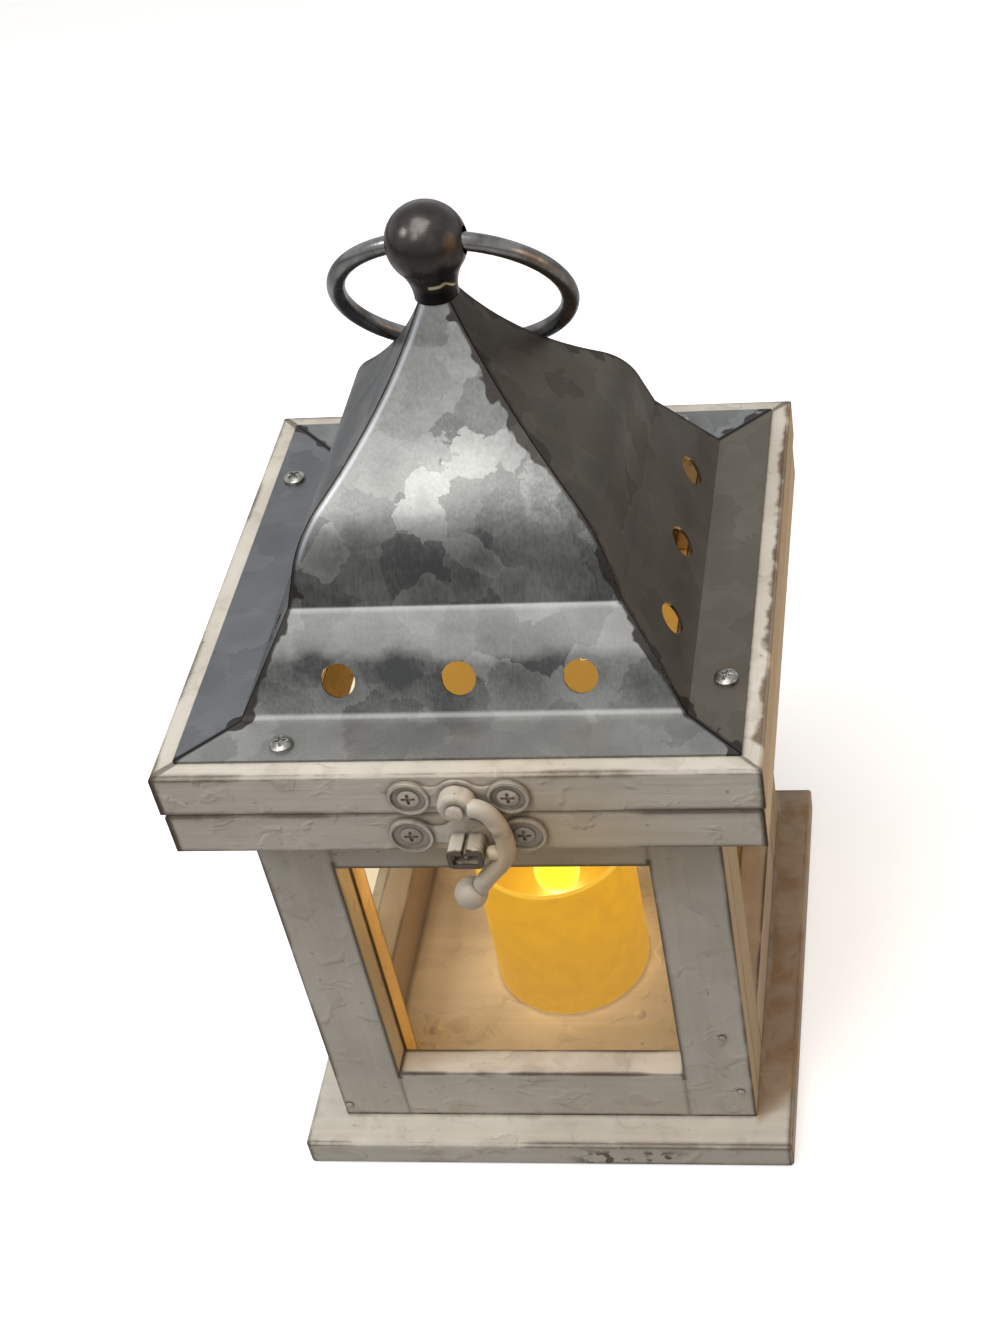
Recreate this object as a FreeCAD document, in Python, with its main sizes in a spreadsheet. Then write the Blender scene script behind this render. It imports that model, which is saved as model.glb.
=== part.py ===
import FreeCAD, Part
import math
import os
import re

# Punched tin lantern: a whitewashed wooden case with four glass panes and a
# hinged wooden lid that carries a galvanised sheet roof, ball and ring.
# X runs to the right, Y to the back, Z up. The origin is the middle of the
# underside of the base board. All lengths are millimetres.

doc = FreeCAD.newDocument("tin_lantern")
sheet = doc.addObject("Spreadsheet::Sheet", "Sizes")

SIZES = {
    # base board
    "base_over": 10.7,
    "base_thick": 9.5,
    "base_ease": 0.8,
    # glazed case: front and back frames run full width, side frames sit between
    "body_side": 121.6,
    "body_height": 128.5,
    "wood_thick": 8.6,
    "front_stile_width": 19.3,
    "side_stile_width": 16.3,
    "rail_bottom_height": 19.6,
    "rail_top_height": 21.1,
    "post_side": 8.6,
    "glass_thick": 1.6,
    "glass_play": 0.2,
    # fixed top frame and hinged lid frame, each of four mitred strips
    "frame_thick": 13.5,
    "frame_over": 13.7,
    "throat_step": 0.3,
    "lid_over": 0.5,
    "lid_thick": 13.2,
    "lid_gap": 0.2,
    "strip_ease": 0.7,
    # sheet metal roof, half widths and heights above the lid of its outer skin
    "sheet_thick": 0.8,
    "roof_margin": 5.2,
    "flange_wide": 13.8,
    "skirt_in": 14.4,
    "crease_height": 24.9,
    "shoulder_in": 11.1,
    "shoulder_height": 48.6,
    "neck_half": 4.0,
    "neck_height": 86.6,
    "seam_gap": 0.3,
    "vent_dia": 8.6,
    "vent_up": 9.9,
    # shares that place the bends between the named points of the roof
    "wall_in_share": 0.234,
    "wall_up_share": 0.384,
    "bulge_in_share": 0.477,
    "bulge_up_share": 0.679,
    "sweep_in_share": 0.517,
    "sweep_up_share": 0.418,
    # shares of a half width for the vents, the roof screws and the hinges
    "vent_share": 0.62,
    "roof_screw_share": 0.623,
    "hinge_share": 0.604,
    # pan head screws that hold the roof flange
    "screw_head_dia": 6.0,
    "screw_head_high": 1.7,
    "screw_shank_dia": 2.6,
    "screw_length": 9.0,
    "recess_long": 3.6,
    "recess_wide": 0.75,
    "recess_deep": 0.8,
    "roof_screw_edge": 5.3,
    "screw_play": 0.1,
    # finial ball, its stud, clamp plate and nut
    "ball_dia": 19.6,
    "ball_over": 14.1,
    "collar_dia": 10.8,
    "collar_top_dia": 16.2,
    "stud_dia": 3.0,
    "stud_length": 14.0,
    "clamp_side": 14.0,
    "clamp_thick": 1.2,
    "nut_flats": 5.5,
    "nut_high": 2.4,
    "thread_play": 0.05,
    # pull ring
    "ring_dia": 57.2,
    "wire_dia": 4.5,
    "ring_play": 0.25,
    "rest_gap": 0.3,
    # butt hinges on the rear faces
    "leaf_long": 22.0,
    "leaf_high": 10.5,
    "leaf_thick": 1.0,
    "knuckle_dia": 3.4,
    "hinge_pin_dia": 1.6,
    "hinge_out": 1.8,
    "knuckle_play": 0.3,
    "pin_play": 0.06,
    "leaf_screw_dia": 3.6,
    "leaf_screw_high": 0.35,
    "leaf_shank_dia": 1.8,
    "leaf_screw_long": 8.0,
    "leaf_screw_pitch": 13.0,
    "leaf_screw_drop": 6.4,
    # latch plate on the lid, swing hook and its rivet
    "latch_shift": 1.2,
    "plate_thick": 1.0,
    "rim_wide": 0.9,
    "rim_high": 0.6,
    "latch_pitch": 24.5,
    "latch_lobe_dia": 10.4,
    "latch_hub_dia": 11.0,
    "plate_waist": 4.0,
    "latch_head_dia": 5.6,
    "latch_head_high": 0.6,
    "latch_shank_dia": 2.2,
    "latch_screw_long": 7.0,
    "eye_dia": 9.2,
    "eye_thick": 4.2,
    "eye_gap": 0.3,
    "eye_round": 1.4,
    "rivet_dia": 3.0,
    "rivet_head_dia": 4.4,
    "rivet_head_high": 1.6,
    "rivet_play": 0.06,
    "hook_reach": 10.2,
    "hook_drop": 30.3,
    "hook_dia": 4.7,
    "hook_out": 3.4,
    "hook_ball_dia": 8.4,
    "nub_dia": 3.8,
    # catch plate on the fixed frame with its hollow keeper
    "catch_pitch": 28.2,
    "catch_lobe_dia": 11.2,
    "catch_hub_dia": 11.6,
    "keeper_wide": 8.8,
    "keeper_high": 5.8,
    "keeper_out": 6.6,
    "keeper_round": 1.3,
    "keeper_wall": 1.2,
    "keeper_slit": 1.1,
    "keeper_slit_deep": 1.0,
    "keeper_drop": 2.2,
    "keeper_gap": 0.3,
    # battery candle
    "candle_dia": 47.4,
    "candle_high": 53.6,
    "candle_rim": 1.6,
    "candle_dish_deep": 20.0,
    "candle_round": 1.4,
    "candle_core_dia": 40.0,
    "candle_core_high": 24.0,
    "core_play": 0.2,
    "flame_dia": 13.6,
    "flame_high": 24.0,
    "flame_seat_dia": 9.0,
    "flame_seat_deep": 3.0,
    "battery_dia": 20.0,
    "battery_thick": 3.2,
    "door_dia": 25.0,
    "door_thick": 1.2,
    "door_deep": 0.5,
    "cell_play": 0.2,
    "switch_well_long": 8.0,
    "switch_well_wide": 4.0,
    "switch_well_deep": 2.0,
    "switch_long": 4.0,
    "switch_shift": 16.0,
    "switch_deep": 0.4,
    "switch_play": 0.2,
}

# Sizes that follow from the driving ones, as formulas of the same sheet.
DERIVED = {
    "body_half": "body_side / 2",
    "base_half": "body_half + base_over",
    "inner_half": "body_half - wood_thick",
    "groove": "glass_thick + 2 * glass_play",
    "post_out": "inner_half - groove",
    "post_in": "post_out - post_side",
    "case_top": "base_thick + body_height",
    "frame_half": "body_half + frame_over",
    "seam_level": "case_top + frame_thick",
    "lid_half": "frame_half + lid_over",
    "lid_level": "seam_level + lid_gap",
    "lid_top": "lid_level + lid_thick",
    "throat_half": "post_out + throat_step",
    "flange_half": "lid_half - roof_margin",
    "fold_half": "flange_half - flange_wide",
    "crease_half": "fold_half - skirt_in",
    "shoulder_half": "crease_half - shoulder_in",
    "vent_pitch": "(fold_half + crease_half) / 2 * vent_share",
    "roof_screw_along": "flange_half * roof_screw_share",
    "hinge_place": "frame_half * hinge_share",
    "ball_height": "neck_height + ball_over",
    "ball_level": "lid_top + ball_height",
    "collar_level": "lid_top + neck_height",
    "pin_level": "seam_level + lid_gap / 2",
    "pin_back": "lid_half + hinge_out",
    "latch_level": "lid_level + lid_thick / 2",
    "catch_level": "case_top + frame_thick / 2",
    "keeper_level": "catch_level - keeper_drop",
    "candle_half": "candle_dia / 2",
    "dish_level": "candle_high - candle_dish_deep",
}

row = 1
for alias, value in list(SIZES.items()) + list(DERIVED.items()):
    sheet.set("A%d" % row, alias)
    sheet.set("B%d" % row, "=" + value if alias in DERIVED else str(value))
    sheet.setAlias("B%d" % row, alias)
    row += 1
doc.recompute()

NAMES = sorted(list(SIZES) + list(DERIVED), key=len, reverse=True)
WORDS = re.compile(r"\b(" + "|".join(NAMES) + r")\b")
PIECES = []


def val(name):
    """Value of one named size."""
    return float(sheet.get(name))


def formula(text):
    """Turn plain size names into references to the sheet."""
    return WORDS.sub(r"Sizes.\1", text)


def bind(obj, **props):
    """Bind properties such as Length to formulas of the sheet."""
    for prop, text in props.items():
        obj.setExpression(prop, formula(text))


def move(obj, x, y, z):
    """Bind the place of an object to formulas of the sheet."""
    for axis, text in zip("xyz", (x, y, z)):
        obj.setExpression(".Placement.Base." + axis, formula(text))


def piece(obj, label):
    """Name an object as one of the lantern's separate pieces."""
    obj.Label = label
    PIECES.append(obj)
    return obj


def block(label, length, width, height, x, y, z):
    """A rectangular block with its low corner at x, y, z."""
    obj = doc.addObject("Part::Box", label)
    bind(obj, Length=length, Width=width, Height=height)
    move(obj, x, y, z)
    return obj


def rod(label, radius, height, x, y, z):
    """An upright cylinder standing at x, y, z."""
    obj = doc.addObject("Part::Cylinder", label)
    bind(obj, Radius=radius, Height=height)
    move(obj, x, y, z)
    return obj


def cut(label, base, tool):
    obj = doc.addObject("Part::Cut", label)
    obj.Base = base
    obj.Tool = tool
    return obj


def join(label, shapes):
    obj = doc.addObject("Part::MultiFuse", label)
    obj.Shapes = shapes
    return obj


def new_body(label):
    return doc.addObject("PartDesign::Body", label)


def outline(start, *steps):
    """Lines and arcs of a closed outline; a step of two points is an arc."""
    parts = []
    at = start
    for step in steps:
        if len(step) == 2 and isinstance(step[0], tuple):
            middle, end = step
            parts.append(Part.Arc(FreeCAD.Vector(*at, 0), FreeCAD.Vector(*middle, 0),
                                  FreeCAD.Vector(*end, 0)))
        else:
            end = step
            parts.append(Part.LineSegment(FreeCAD.Vector(*at, 0), FreeCAD.Vector(*end, 0)))
        at = end
    return parts


def dome(rim, low, top):
    """Middle and end of an arc from the rim to the axis, centred on the axis."""
    rise = top - low
    radius = (rim ** 2 + rise ** 2) / (2 * rise)
    half_angle = math.atan2(rim, radius - rise) / 2
    return ((radius * math.sin(half_angle), top - radius + radius * math.cos(half_angle)), (0, top))


def draw(body, role, geometry, label, lift=None):
    """A sketch on one of the body's own origin planes."""
    sketch = body.newObject("Sketcher::SketchObject", label)
    plane = [f for f in body.Origin.OriginFeatures if f.Role == role][0]
    sketch.AttachmentSupport = [(plane, "")]
    sketch.MapMode = "FlatFace"
    sketch.addGeometry(geometry, False)
    if lift:
        sketch.setExpression(".AttachmentOffset.Base.z", formula(lift))
    return sketch


def pad(body, sketch, length, label, middle=False):
    feature = body.newObject("PartDesign::Pad", label)
    feature.Profile = sketch
    feature.Midplane = middle
    feature.setExpression("Length", formula(length))
    return feature


def pocket_through(body, sketch, label):
    feature = body.newObject("PartDesign::Pocket", label)
    feature.Profile = sketch
    feature.Type = "ThroughAll"
    feature.Midplane = True
    return feature


def turned(label, geometry):
    """A turned piece: a half profile spun about the Z axis."""
    body = new_body(label)
    sketch = draw(body, "XZ_Plane", geometry, label + "_profile")
    spin = body.newObject("PartDesign::Revolution", label + "_spin")
    spin.Profile = sketch
    spin.ReferenceAxis = (sketch, ["V_Axis"])
    spin.Angle = 360.0
    doc.recompute()
    return body


def ease(body, base, size, test, label):
    """Chamfer the edges of a feature that pass a test."""
    doc.recompute()
    names = ["Edge%d" % (i + 1) for i, edge in enumerate(base.Shape.Edges) if test(edge)]
    feature = body.newObject("PartDesign::Chamfer", label)
    feature.Base = (base, names)
    feature.setExpression("Size", formula(size))
    return feature


def settle(label, shape):
    """A piece whose form the plain features don't give."""
    obj = doc.addObject("Part::Feature", label)
    obj.Shape = shape
    return piece(obj, label)


def copies(label, source, places):
    """Identical fasteners in one node, each a placed copy of a master."""
    doc.recompute()
    shapes = []
    for place in places:
        shape = source.Shape.copy()
        shape.Placement = place.multiply(shape.Placement)
        shapes.append(shape)
    return settle(label, Part.makeCompound(shapes))


def vec(x, y, z):
    return FreeCAD.Vector(x, y, z)


X_AXIS = vec(1, 0, 0)
Y_AXIS = vec(0, 1, 0)
Z_AXIS = vec(0, 0, 1)
QUARTERS = {side: 90 * turn for turn, side in enumerate(("front", "right", "back", "left"))}


def turn_to(side):
    return FreeCAD.Rotation(Z_AXIS, QUARTERS[side])


# Base board: one square board with slightly worn corners all round.
base = new_body("base_board_body")
half = val("base_half")
square = outline((-half, -half), (half, -half), (half, half), (-half, half), (-half, -half))
base_pad = pad(base, draw(base, "XY_Plane", square, "base_square"), "base_thick", "base_pad")
ease(base, base_pad, "base_ease", lambda edge: True, "base_worn_edges")
piece(base, "base_board")

# Front and back frames: two full height stiles with a rail between them at
# the bottom and at the top.
for side, near in (("front", "-body_half"), ("back", "inner_half")):
    for hand, x in (("left", "-body_half"), ("right", "body_half - front_stile_width")):
        stile = block("%s_stile_%s" % (side, hand), "front_stile_width", "wood_thick", "body_height",
                      x, near, "base_thick")
        piece(stile, "%s_stile_%s" % (side, hand))
    rail_long = "body_side - 2 * front_stile_width"
    low = block(side + "_rail_bottom", rail_long, "wood_thick", "rail_bottom_height",
                "-body_half + front_stile_width", near, "base_thick")
    piece(low, side + "_rail_bottom")
    high = block(side + "_rail_top", rail_long, "wood_thick", "rail_top_height",
                 "-body_half + front_stile_width", near, "case_top - rail_top_height")
    piece(high, side + "_rail_top")

# Side frames: they stand between the front and back frames.
for side, near in (("left", "-body_half"), ("right", "inner_half")):
    for end, y in (("front", "-inner_half"), ("back", "inner_half - side_stile_width")):
        stile = block("%s_stile_%s" % (side, end), "wood_thick", "side_stile_width", "body_height",
                      near, y, "base_thick")
        piece(stile, "%s_stile_%s" % (side, end))
    rail_long = "2 * inner_half - 2 * side_stile_width"
    low = block(side + "_rail_bottom", "wood_thick", rail_long, "rail_bottom_height",
                near, "-inner_half + side_stile_width", "base_thick")
    piece(low, side + "_rail_bottom")
    high = block(side + "_rail_top", "wood_thick", rail_long, "rail_top_height",
                 near, "-inner_half + side_stile_width", "case_top - rail_top_height")
    piece(high, side + "_rail_top")

# Corner posts inside the case keep the panes against the frames.
for name, x, y in (("front_left", "-post_out", "-post_out"), ("front_right", "post_in", "-post_out"),
                   ("back_left", "-post_out", "post_in"), ("back_right", "post_in", "post_in")):
    post = block("corner_post_" + name, "post_side", "post_side", "body_height", x, y, "base_thick")
    piece(post, "corner_post_" + name)

# Glass panes: each stands on the base board in the groove behind its frame.
pane_wide = "2 * post_out - 2 * glass_play"
pane_high = "body_height - glass_play"
for side, y in (("front", "-inner_half + glass_play"), ("back", "post_out + glass_play")):
    pane = block("glass_" + side, pane_wide, "glass_thick", pane_high,
                 "-post_out + glass_play", y, "base_thick")
    piece(pane, "glass_" + side)
for side, x in (("left", "-inner_half + glass_play"), ("right", "post_out + glass_play")):
    pane = block("glass_" + side, "glass_thick", pane_wide, pane_high,
                 x, "-post_out + glass_play", "base_thick")
    piece(pane, "glass_" + side)


def mitred_strip(label, outer, thick, level, side, holes=()):
    """One strip of a square frame, drawn for the front and turned to its side."""
    out = val(outer)
    inner = val("throat_half")
    body = new_body(label + "_body")
    shape = outline((-out, -out), (out, -out), (inner, -inner), (-inner, -inner), (-out, -out))
    solid = pad(body, draw(body, "XY_Plane", shape, label + "_shape"), thick, label + "_pad")
    at_front = lambda edge: all(abs(v.Y + out) < val("strip_ease") for v in edge.Vertexes) \
        and abs(edge.Vertexes[0].Z - edge.Vertexes[-1].Z) < val("strip_ease")
    ease(body, solid, "strip_ease", at_front, label + "_worn_edges")
    body.Placement.Rotation = turn_to(side)
    body.setExpression(".Placement.Base.z", formula(level))
    if not holes:
        return piece(body, label)
    doc.recompute()
    tools = []
    for number, (x, y, z, radius, depth, way) in enumerate(holes):
        tools.append(Part.makeCylinder(radius, depth, vec(x, y, z), way))
    drills = doc.addObject("Part::Feature", label + "_drills")
    drills.Shape = Part.makeCompound(tools)
    return piece(cut(label + "_drilled", body, drills), label)


# Pilot holes for the screws, worked out once from the pieces they hold.
pilot = val("screw_shank_dia") / 2 + val("screw_play")
small_pilot = val("latch_shank_dia") / 2 + val("screw_play")
leaf_pilot = val("leaf_shank_dia") / 2 + val("screw_play")
roof_line = val("flange_half") - val("roof_screw_edge")
roof_places = {
    "front": (-val("roof_screw_along"), -roof_line),
    "right": (roof_line, -val("roof_screw_along")),
    "back": (val("roof_screw_along"), roof_line),
    "left": (-roof_line, val("roof_screw_along")),
}
leaf_spots = []
for hinge in (-1, 1):
    for end in (-1, 1):
        leaf_spots.append(hinge * val("hinge_place") + end * val("leaf_screw_pitch") / 2)


def roof_pilot(side):
    x, y = roof_places[side]
    depth = val("screw_length") + val("screw_play")
    return (x, y, val("lid_top") - depth, pilot, depth, Z_AXIS)


latch_spots = [val("latch_shift") + end * val("latch_pitch") / 2 for end in (-1, 1)]
catch_spots = [val("latch_shift") + end * val("catch_pitch") / 2 for end in (-1, 1)]
latch_depth = val("latch_screw_long") + val("screw_play")
leaf_depth = val("leaf_screw_long") + val("screw_play")

catch_holes = [(x, -val("frame_half"), val("catch_level"), small_pilot, latch_depth, Y_AXIS)
               for x in catch_spots]
latch_holes = [(x, -val("lid_half"), val("latch_level"), small_pilot, latch_depth, Y_AXIS)
               for x in latch_spots]
rivet_hole = [(val("latch_shift"), -val("lid_half"), val("latch_level"),
               val("rivet_dia") / 2 + val("screw_play"), val("plate_thick") * 2, Y_AXIS)]
low_leaf_holes = [(x, val("frame_half"), val("pin_level") - val("leaf_screw_drop"), leaf_pilot,
                   leaf_depth, -Y_AXIS) for x in leaf_spots]
high_leaf_holes = [(x, val("lid_half"), val("pin_level") + val("leaf_screw_drop"), leaf_pilot,
                    leaf_depth, -Y_AXIS) for x in leaf_spots]

# Fixed top frame and the hinged lid frame above it.
mitred_strip("frame_strip_front", "frame_half", "frame_thick", "case_top", "front", catch_holes)
mitred_strip("frame_strip_right", "frame_half", "frame_thick", "case_top", "right")
mitred_strip("frame_strip_back", "frame_half", "frame_thick", "case_top", "back", low_leaf_holes)
mitred_strip("frame_strip_left", "frame_half", "frame_thick", "case_top", "left")
mitred_strip("lid_strip_front", "lid_half", "lid_thick", "lid_level", "front",
             latch_holes + rivet_hole + [roof_pilot("front")])
mitred_strip("lid_strip_right", "lid_half", "lid_thick", "lid_level", "right", [roof_pilot("right")])
mitred_strip("lid_strip_back", "lid_half", "lid_thick", "lid_level", "back",
             high_leaf_holes + [roof_pilot("back")])
mitred_strip("lid_strip_left", "lid_half", "lid_thick", "lid_level", "left", [roof_pilot("left")])

# Roof profile: half width and height of the outer skin from the flange to
# the neck. The wall rises steeply from the crease, bulges over the shoulder
# and sweeps up in a hollow curve.
crease = (val("crease_half"), val("crease_height"))
shoulder = (val("shoulder_half"), val("shoulder_height"))
neck = (val("neck_half"), val("neck_height"))


def between(low, high, in_share, up_share):
    return (low[0] + (high[0] - low[0]) * in_share, low[1] + (high[1] - low[1]) * up_share)


wall = between(crease, shoulder, val("wall_in_share"), val("wall_up_share"))
bulge = between(crease, shoulder, val("bulge_in_share"), val("bulge_up_share"))
sweep = between(shoulder, neck, val("sweep_in_share"), val("sweep_up_share"))
skin = [(val("flange_half"), val("sheet_thick")), (val("fold_half"), val("sheet_thick")),
        crease, wall, bulge, shoulder, sweep, neck]


def inner_skin(points, thick):
    """The same bends one sheet thickness further in."""
    normals = []
    for a, b in zip(points[:-1], points[1:]):
        size = math.hypot(b[0] - a[0], b[1] - a[1])
        normals.append(((a[1] - b[1]) / size, (b[0] - a[0]) / size))
    result = []
    for i, point in enumerate(points):
        first = normals[max(i - 1, 0)]
        last = normals[min(i, len(normals) - 1)]
        sum_x, sum_y = first[0] + last[0], first[1] + last[1]
        scale = 2 * thick / (sum_x ** 2 + sum_y ** 2)
        result.append((point[0] + sum_x * scale, point[1] + sum_y * scale))
    return result


lining = inner_skin(skin, val("sheet_thick"))


def panel_section():
    """Closed section of a panel, drawn with the panel in front (y negative)."""
    out = [(-x, z) for x, z in skin]
    back = [(-x, z) for x, z in lining]
    return outline(out[0], out[1], out[2], out[3], (out[4], out[5]), (out[6], out[7]), back[7],
                   (back[6], back[5]), (back[4], back[3]), back[2], back[1], back[0], out[0])


# The three punched holes sit square to the skirt, between fold and crease.
skirt_run = val("fold_half") - val("crease_half")
skirt_rise = val("crease_height") - val("sheet_thick")
skirt_long = math.hypot(skirt_run, skirt_rise)
vent_y = -(val("fold_half") - skirt_run * val("vent_up") / skirt_long)
vent_z = val("sheet_thick") + skirt_rise * val("vent_up") / skirt_long
vent_way = vec(0, -skirt_rise / skirt_long, skirt_run / skirt_long)


def roof_panel(label, side):
    body = new_body(label + "_body")
    section = draw(body, "YZ_Plane", panel_section(), label + "_section")
    pad(body, section, "2 * flange_half", label + "_bent_sheet", middle=True)
    far = val("flange_half")
    seam = val("seam_gap") / math.sqrt(2)
    for hand, name in ((1, "right"), (-1, "left")):
        edge = outline((0, -seam), (hand * 2 * far, -seam - 2 * far), (hand * 3 * far, -seam - 2 * far),
                       (hand * 3 * far, 0), (0, 0), (0, -seam))
        pocket_through(body, draw(body, "XY_Plane", edge, label + "_mitre_" + name),
                       label + "_hip_" + name)
    body.Placement.Rotation = turn_to(side)
    body.setExpression(".Placement.Base.z", formula("lid_top"))
    doc.recompute()
    punches = []
    deep = 4 * val("sheet_thick")
    for number in (-1, 0, 1):
        start = vec(number * val("vent_pitch"), vent_y, vent_z) - vent_way * (deep / 2)
        punches.append(Part.makeCylinder(val("vent_dia") / 2, deep, start, vent_way))
    x, y = roof_places["front"]
    punches.append(Part.makeCylinder(pilot, 3 * val("sheet_thick"), vec(x, y, -val("sheet_thick"))))
    punch = doc.addObject("Part::Feature", label + "_punches")
    punch.Shape = Part.makeCompound(punches)
    punch.Placement = FreeCAD.Placement(vec(0, 0, val("lid_top")), turn_to(side))
    return piece(cut(label + "_punched", body, punch), label)


for side in QUARTERS:
    roof_panel("roof_panel_" + side, side)


def screw_master(label, head_dia, head_high, shank_dia, length, deep):
    """A pan head screw standing on its seat at z = 0, with a cross recess."""
    head, high, shank = val(head_dia) / 2, val(head_high), val(shank_dia) / 2
    long = val(length)
    tip = shank * 2
    rim_share = 0.45
    profile = outline((0, -long), (shank, -long + tip), (shank, 0), (head, 0),
                      (head, high * rim_share), dome(head, high * rim_share, high), (0, -long))
    body = turned(label + "_turned", profile)
    size = val("recess_long") * head / (val("screw_head_dia") / 2)
    wide = val("recess_wide") * head / (val("screw_head_dia") / 2)
    bars = []
    for a, b in ((size, wide), (wide, size)):
        bars.append(Part.makeBox(a, b, high * 2, vec(-a / 2, -b / 2, high - deep)))
    cross = doc.addObject("Part::Feature", label + "_cross")
    cross.Shape = bars[0].fuse(bars[1])
    return cut(label, body, cross)


# Roof screws, one near a corner of each flange, going round like a pinwheel.
roof_screw = screw_master("roof_screw_master", "screw_head_dia", "screw_head_high",
                          "screw_shank_dia", "screw_length", val("recess_deep"))
copies("roof_screws", roof_screw,
       [FreeCAD.Placement(vec(x, y, val("lid_top") + val("sheet_thick")), FreeCAD.Rotation(Z_AXIS, turn))
        for (x, y), turn in zip(roof_places.values(), (12, 70, 35, 50))])

# Finial: ball on a hollow turned collar, with a cross bore for the ring and a
# stud that goes down through the neck of the roof.
ball = val("ball_dia") / 2
collar, flare, stud = val("collar_dia") / 2, val("collar_top_dia") / 2, val("stud_dia") / 2
under = val("ball_over")
join_up = under - math.sqrt(ball ** 2 - flare ** 2)
side_point = (ball * math.cos(math.radians(10)), under + ball * math.sin(math.radians(10)))
finial_profile = outline((0, -val("stud_length")), (stud, -val("stud_length")), (stud, 0), (collar, 0),
                         ((collar + (flare - collar) * 0.3, join_up * 0.6), (flare, join_up)),
                         (side_point, (0, under + ball)), (0, -val("stud_length")))
finial = turned("finial_turned", finial_profile)
finial.setExpression(".Placement.Base.z", formula("collar_level"))
ring_half, wire = val("ring_dia") / 2, val("wire_dia") / 2
bow = ring_half - math.sqrt(ring_half ** 2 - ball ** 2)
bore = doc.addObject("Part::Cylinder", "finial_bore")
bore.Radius = wire + bow / 2 + val("ring_play")
bore.Height = val("ball_dia") + 2 * wire
bore.Placement = FreeCAD.Placement(vec(-ball - wire, 0, val("ball_level")), FreeCAD.Rotation(Y_AXIS, 90))
piece(cut("finial_bored", finial, bore), "finial_ball")


def circle_through(a, b, c):
    """Centre and radius of the circle through three points."""
    d = 2 * (a[0] * (b[1] - c[1]) + b[0] * (c[1] - a[1]) + c[0] * (a[1] - b[1]))
    sa, sb, sc = (p[0] ** 2 + p[1] ** 2 for p in (a, b, c))
    x = (sa * (b[1] - c[1]) + sb * (c[1] - a[1]) + sc * (a[1] - b[1])) / d
    y = (sa * (c[0] - b[0]) + sb * (a[0] - c[0]) + sc * (b[0] - a[0])) / d
    return x, y, math.hypot(a[0] - x, a[1] - y)


# Clamp plate and nut: the plate's upper edge meets the inside of the hollow
# curve where the roof is just as wide as the plate.
cx, cy, cr = circle_through(lining[5], lining[6], lining[7])
clamp_half = val("clamp_side") / 2
clamp_up = cy - math.sqrt(cr ** 2 - (clamp_half + val("seam_gap") - cx) ** 2)
clamp_low = val("lid_top") + clamp_up - val("clamp_thick")
plate = doc.addObject("Part::Box", "clamp_square")
bind(plate, Length="clamp_side", Width="clamp_side", Height="clamp_thick")
plate.Placement = FreeCAD.Placement(vec(-clamp_half, -clamp_half, clamp_low), FreeCAD.Rotation())
plate_hole = doc.addObject("Part::Cylinder", "clamp_hole")
bind(plate_hole, Radius="stud_dia / 2 + thread_play", Height="clamp_thick")
plate_hole.Placement = FreeCAD.Placement(vec(0, 0, clamp_low), FreeCAD.Rotation())
piece(cut("clamp_drilled", plate, plate_hole), "finial_clamp_plate")
nut_block = doc.addObject("Part::Prism", "nut_block")
nut_block.Polygon = 6
bind(nut_block, Circumradius="nut_flats / sqrt(3)", Height="nut_high")
nut_block.Placement = FreeCAD.Placement(vec(0, 0, clamp_low - val("nut_high")), FreeCAD.Rotation())
nut_hole = doc.addObject("Part::Cylinder", "nut_hole")
bind(nut_hole, Radius="stud_dia / 2 + thread_play", Height="nut_high")
nut_hole.Placement = nut_block.Placement
piece(cut("nut_threaded", nut_block, nut_hole), "finial_nut")

# Pull ring: round wire through the ball, leaning back on the rear panel. Its
# rest angle is found from the roof's profile.
hang = ring_half - bow / 2
roof_curve = Part.Wire([
    Part.LineSegment(vec(0, skin[2][0], skin[2][1]), vec(0, skin[3][0], skin[3][1])).toShape(),
    Part.Arc(vec(0, *skin[3]), vec(0, *skin[4]), vec(0, *skin[5])).toShape(),
    Part.Arc(vec(0, *skin[5]), vec(0, *skin[6]), vec(0, *skin[7])).toShape()])
reach = hang + ring_half
lean_low, lean_high = 0.0, 80.0
for attempt in range(30):
    lean = (lean_low + lean_high) / 2
    foot = vec(0, reach * math.sin(math.radians(lean)),
               val("ball_height") - reach * math.cos(math.radians(lean)))
    inside = Part.Vertex(foot).distToShape(roof_curve)[0] < wire + val("rest_gap")
    start = Part.Vertex(vec(0, 0, foot.z)).distToShape(roof_curve)[0]
    if inside or foot.y < start:
        lean_low = lean
    else:
        lean_high = lean
lean = lean_high
ring = doc.addObject("Part::Torus", "pull_ring")
bind(ring, Radius1="ring_dia / 2", Radius2="wire_dia / 2")
ring.Placement = FreeCAD.Placement(
    vec(0, hang * math.sin(math.radians(lean)), val("ball_level") - hang * math.cos(math.radians(lean))),
    FreeCAD.Rotation(X_AXIS, 90 + lean))
piece(ring, "pull_ring")
print("ring leans back", round(lean, 3), "degrees from straight down")

# Butt hinges: the body leaf has the two outer knuckles, the lid leaf the
# middle one, and a pin runs through all three.
pin_y, pin_z = val("pin_back"), val("pin_level")
knuckle = val("knuckle_dia") / 2
leaf_long, leaf_high, leaf_thick = val("leaf_long"), val("leaf_high"), val("leaf_thick")
third = (leaf_long - 2 * val("knuckle_play")) / 3


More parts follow.
